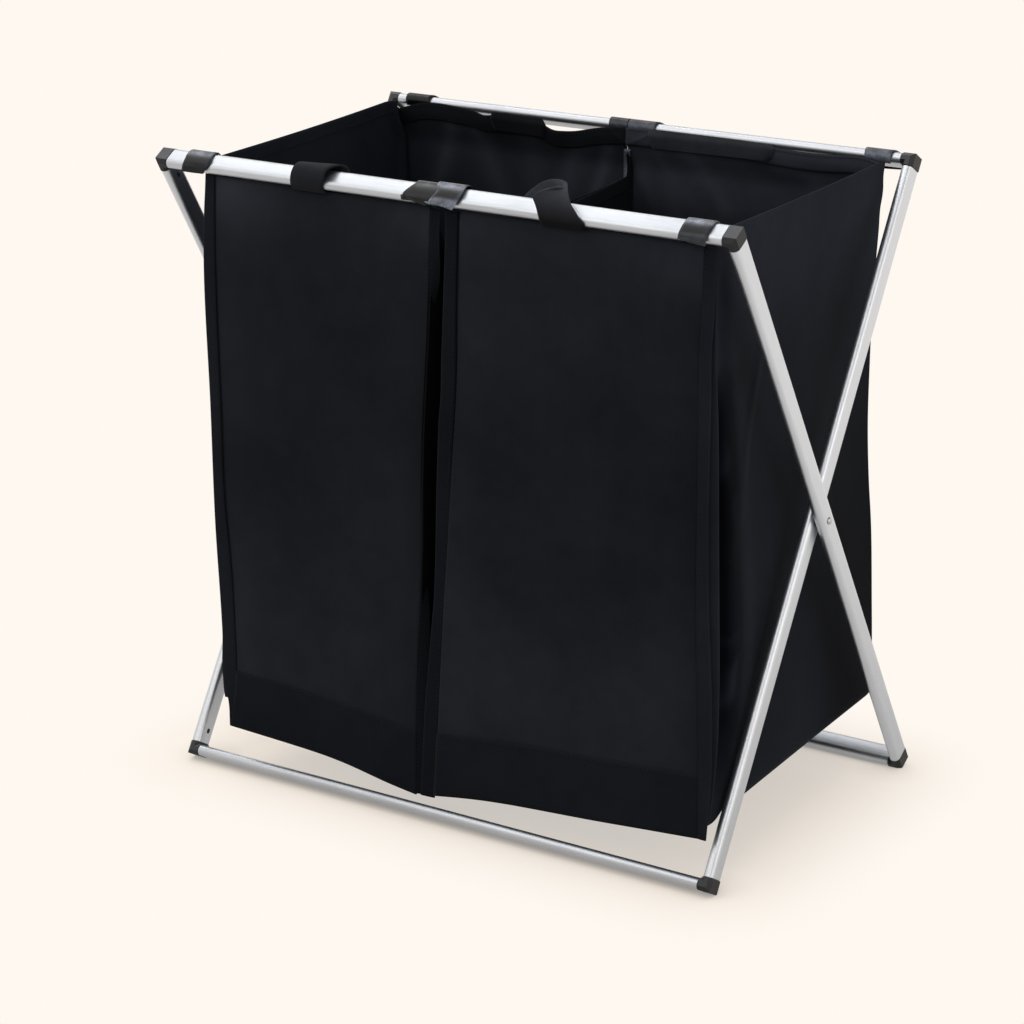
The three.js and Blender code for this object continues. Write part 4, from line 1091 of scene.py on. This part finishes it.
tab("right_bag_back_right_tab", 1, [(-12, 234, 258.2), (90, 233, 259.4), (210, 240, 263)],
    [556.0, 557.2], (30, 30, 0))


# Handles. Soft woven strap folded double, with thicker yarns that show as a coarse weave. The
# front ones are sewn under the rail outside and to the panel inside, so that each makes a loop
# over the rail, the right one slack. The back ones lie flat along the hem.
YARN_MM = 1.1  # real yarns are some 0.6 mm apart, too fine to show
strap_cloth = woven("woven_black_strap", "#17181b", "#292a2e", YARN_MM, 0.78, relief_mm=0.3)
STRAP_ROWS, STRAP_COLUMNS = 90, 17


def strap_loop(node_name, body, left, right, flip=False, painted_shading=0.0):
    """Strap between its two long edges, each a smooth line through (X, Y, Z) points in mm, with
    a straight blend across."""
    order = np.linspace(0, len(left) - 1, STRAP_ROWS)
    left, right = (
        points(*(smooth_line(order, list(enumerate(values))) for values in zip(*edge)))
        for edge in (left, right)
    )
    across = np.linspace(0, 1, STRAP_COLUMNS)[None, :, None]
    grid = left[:, None] * (1 - across) + right[:, None] * across
    cloth_piece(node_name + "_strap", grid, body, strap_cloth, thickness=1.8,
                node_name=node_name, flip=flip, painted_shading=painted_shading)


# The straps carry painted light and shade: the left front one painted a little paler, the right
# front one darker at its front end under the rail and paler from the top of its loop on, the left
# back one darker and the right back one paler.
strap_loop(
    "left_front_handle", "bag_fronts",
    [(-139.5, -171.7, 556.5), (-140.4, -175.5, 558), (-140.6, -180, 563), (-139.6, -180.6, 572),
     (-138.5, -176.4, 579.2), (-140.5, -165, 580), (-141.5, -157.5, 576.5), (-138, -155.8, 566),
     (-132, -158.5, 554), (-130, -166.5, 542), (-130, -167, 532)],
    [(-108, -171.7, 556.5), (-108.2, -175.5, 558), (-107.9, -180, 563), (-105.8, -180.6, 572),
     (-104.5, -176.4, 579.3), (-103, -165, 581), (-97.5, -157.5, 579.6), (-94, -155.2, 570),
     (-92, -157.5, 558), (-92, -166.5, 542), (-92, -167, 532)],
    flip=True, painted_shading=0.25,
)
strap_loop(
    "right_front_handle", "bag_fronts",
    [(107.5, -171.7, 556.5), (109.6, -175.8, 558), (110.2, -179.9, 563.9), (108.1, -181, 573.5),
     (104.8, -180.4, 581.2), (111.6, -181, 585.9), (120.4, -180, 588.5), (127.6, -176, 588.9),
     (128.4, -168, 584.6), (117.5, -157, 577.7), (108.6, -155, 567.6), (102.2, -157.5, 556.3),
     (102.4, -166.5, 543), (102.4, -167, 532)],
    [(148.9, -171.7, 556.5), (151, -175.8, 557.8), (151.7, -179.9, 563.2), (146, -181, 571.6),
     (140.7, -180.4, 578.6), (137.4, -178, 584.4), (133.1, -172, 589.1), (124.2, -160, 591.5),
     (112.3, -155, 591.7), (98.3, -152.5, 588.2), (86.4, -152, 580.4), (78.3, -154, 571.7),
     (72.4, -164.5, 554.7), (72, -167, 540)],
    flip=True,
    painted_shading=np.interp(np.arange(STRAP_ROWS), [0, 12, 30, 89], [-0.9, -0.6, 1.1, 1.4])[:, None],
)
strap_loop(
    "left_back_handle", "bag_backs",
    [(-155.5, 155, 570), (-157, 153.8, 564.5), (-156.2, 155.2, 558.5), (-154.5, 156.9, 552.5)],
    [(-100, 155, 569), (-96, 153.8, 563.5), (-97.5, 155.4, 557.5), (-99.5, 157.2, 551.5)],
    painted_shading=-0.55,
)
strap_loop(
    "right_back_handle", "bag_backs",
    [(16, 155.4, 571.2), (15, 154.4, 565.5), (16, 156, 559), (18, 157.6, 553.5)],
    [(142.5, 155.4, 570.6), (144.6, 154.4, 566.5), (143, 155.4, 560), (139, 156.8, 555)],
    painted_shading=1.2,
)


bpy.context.view_layer.update()
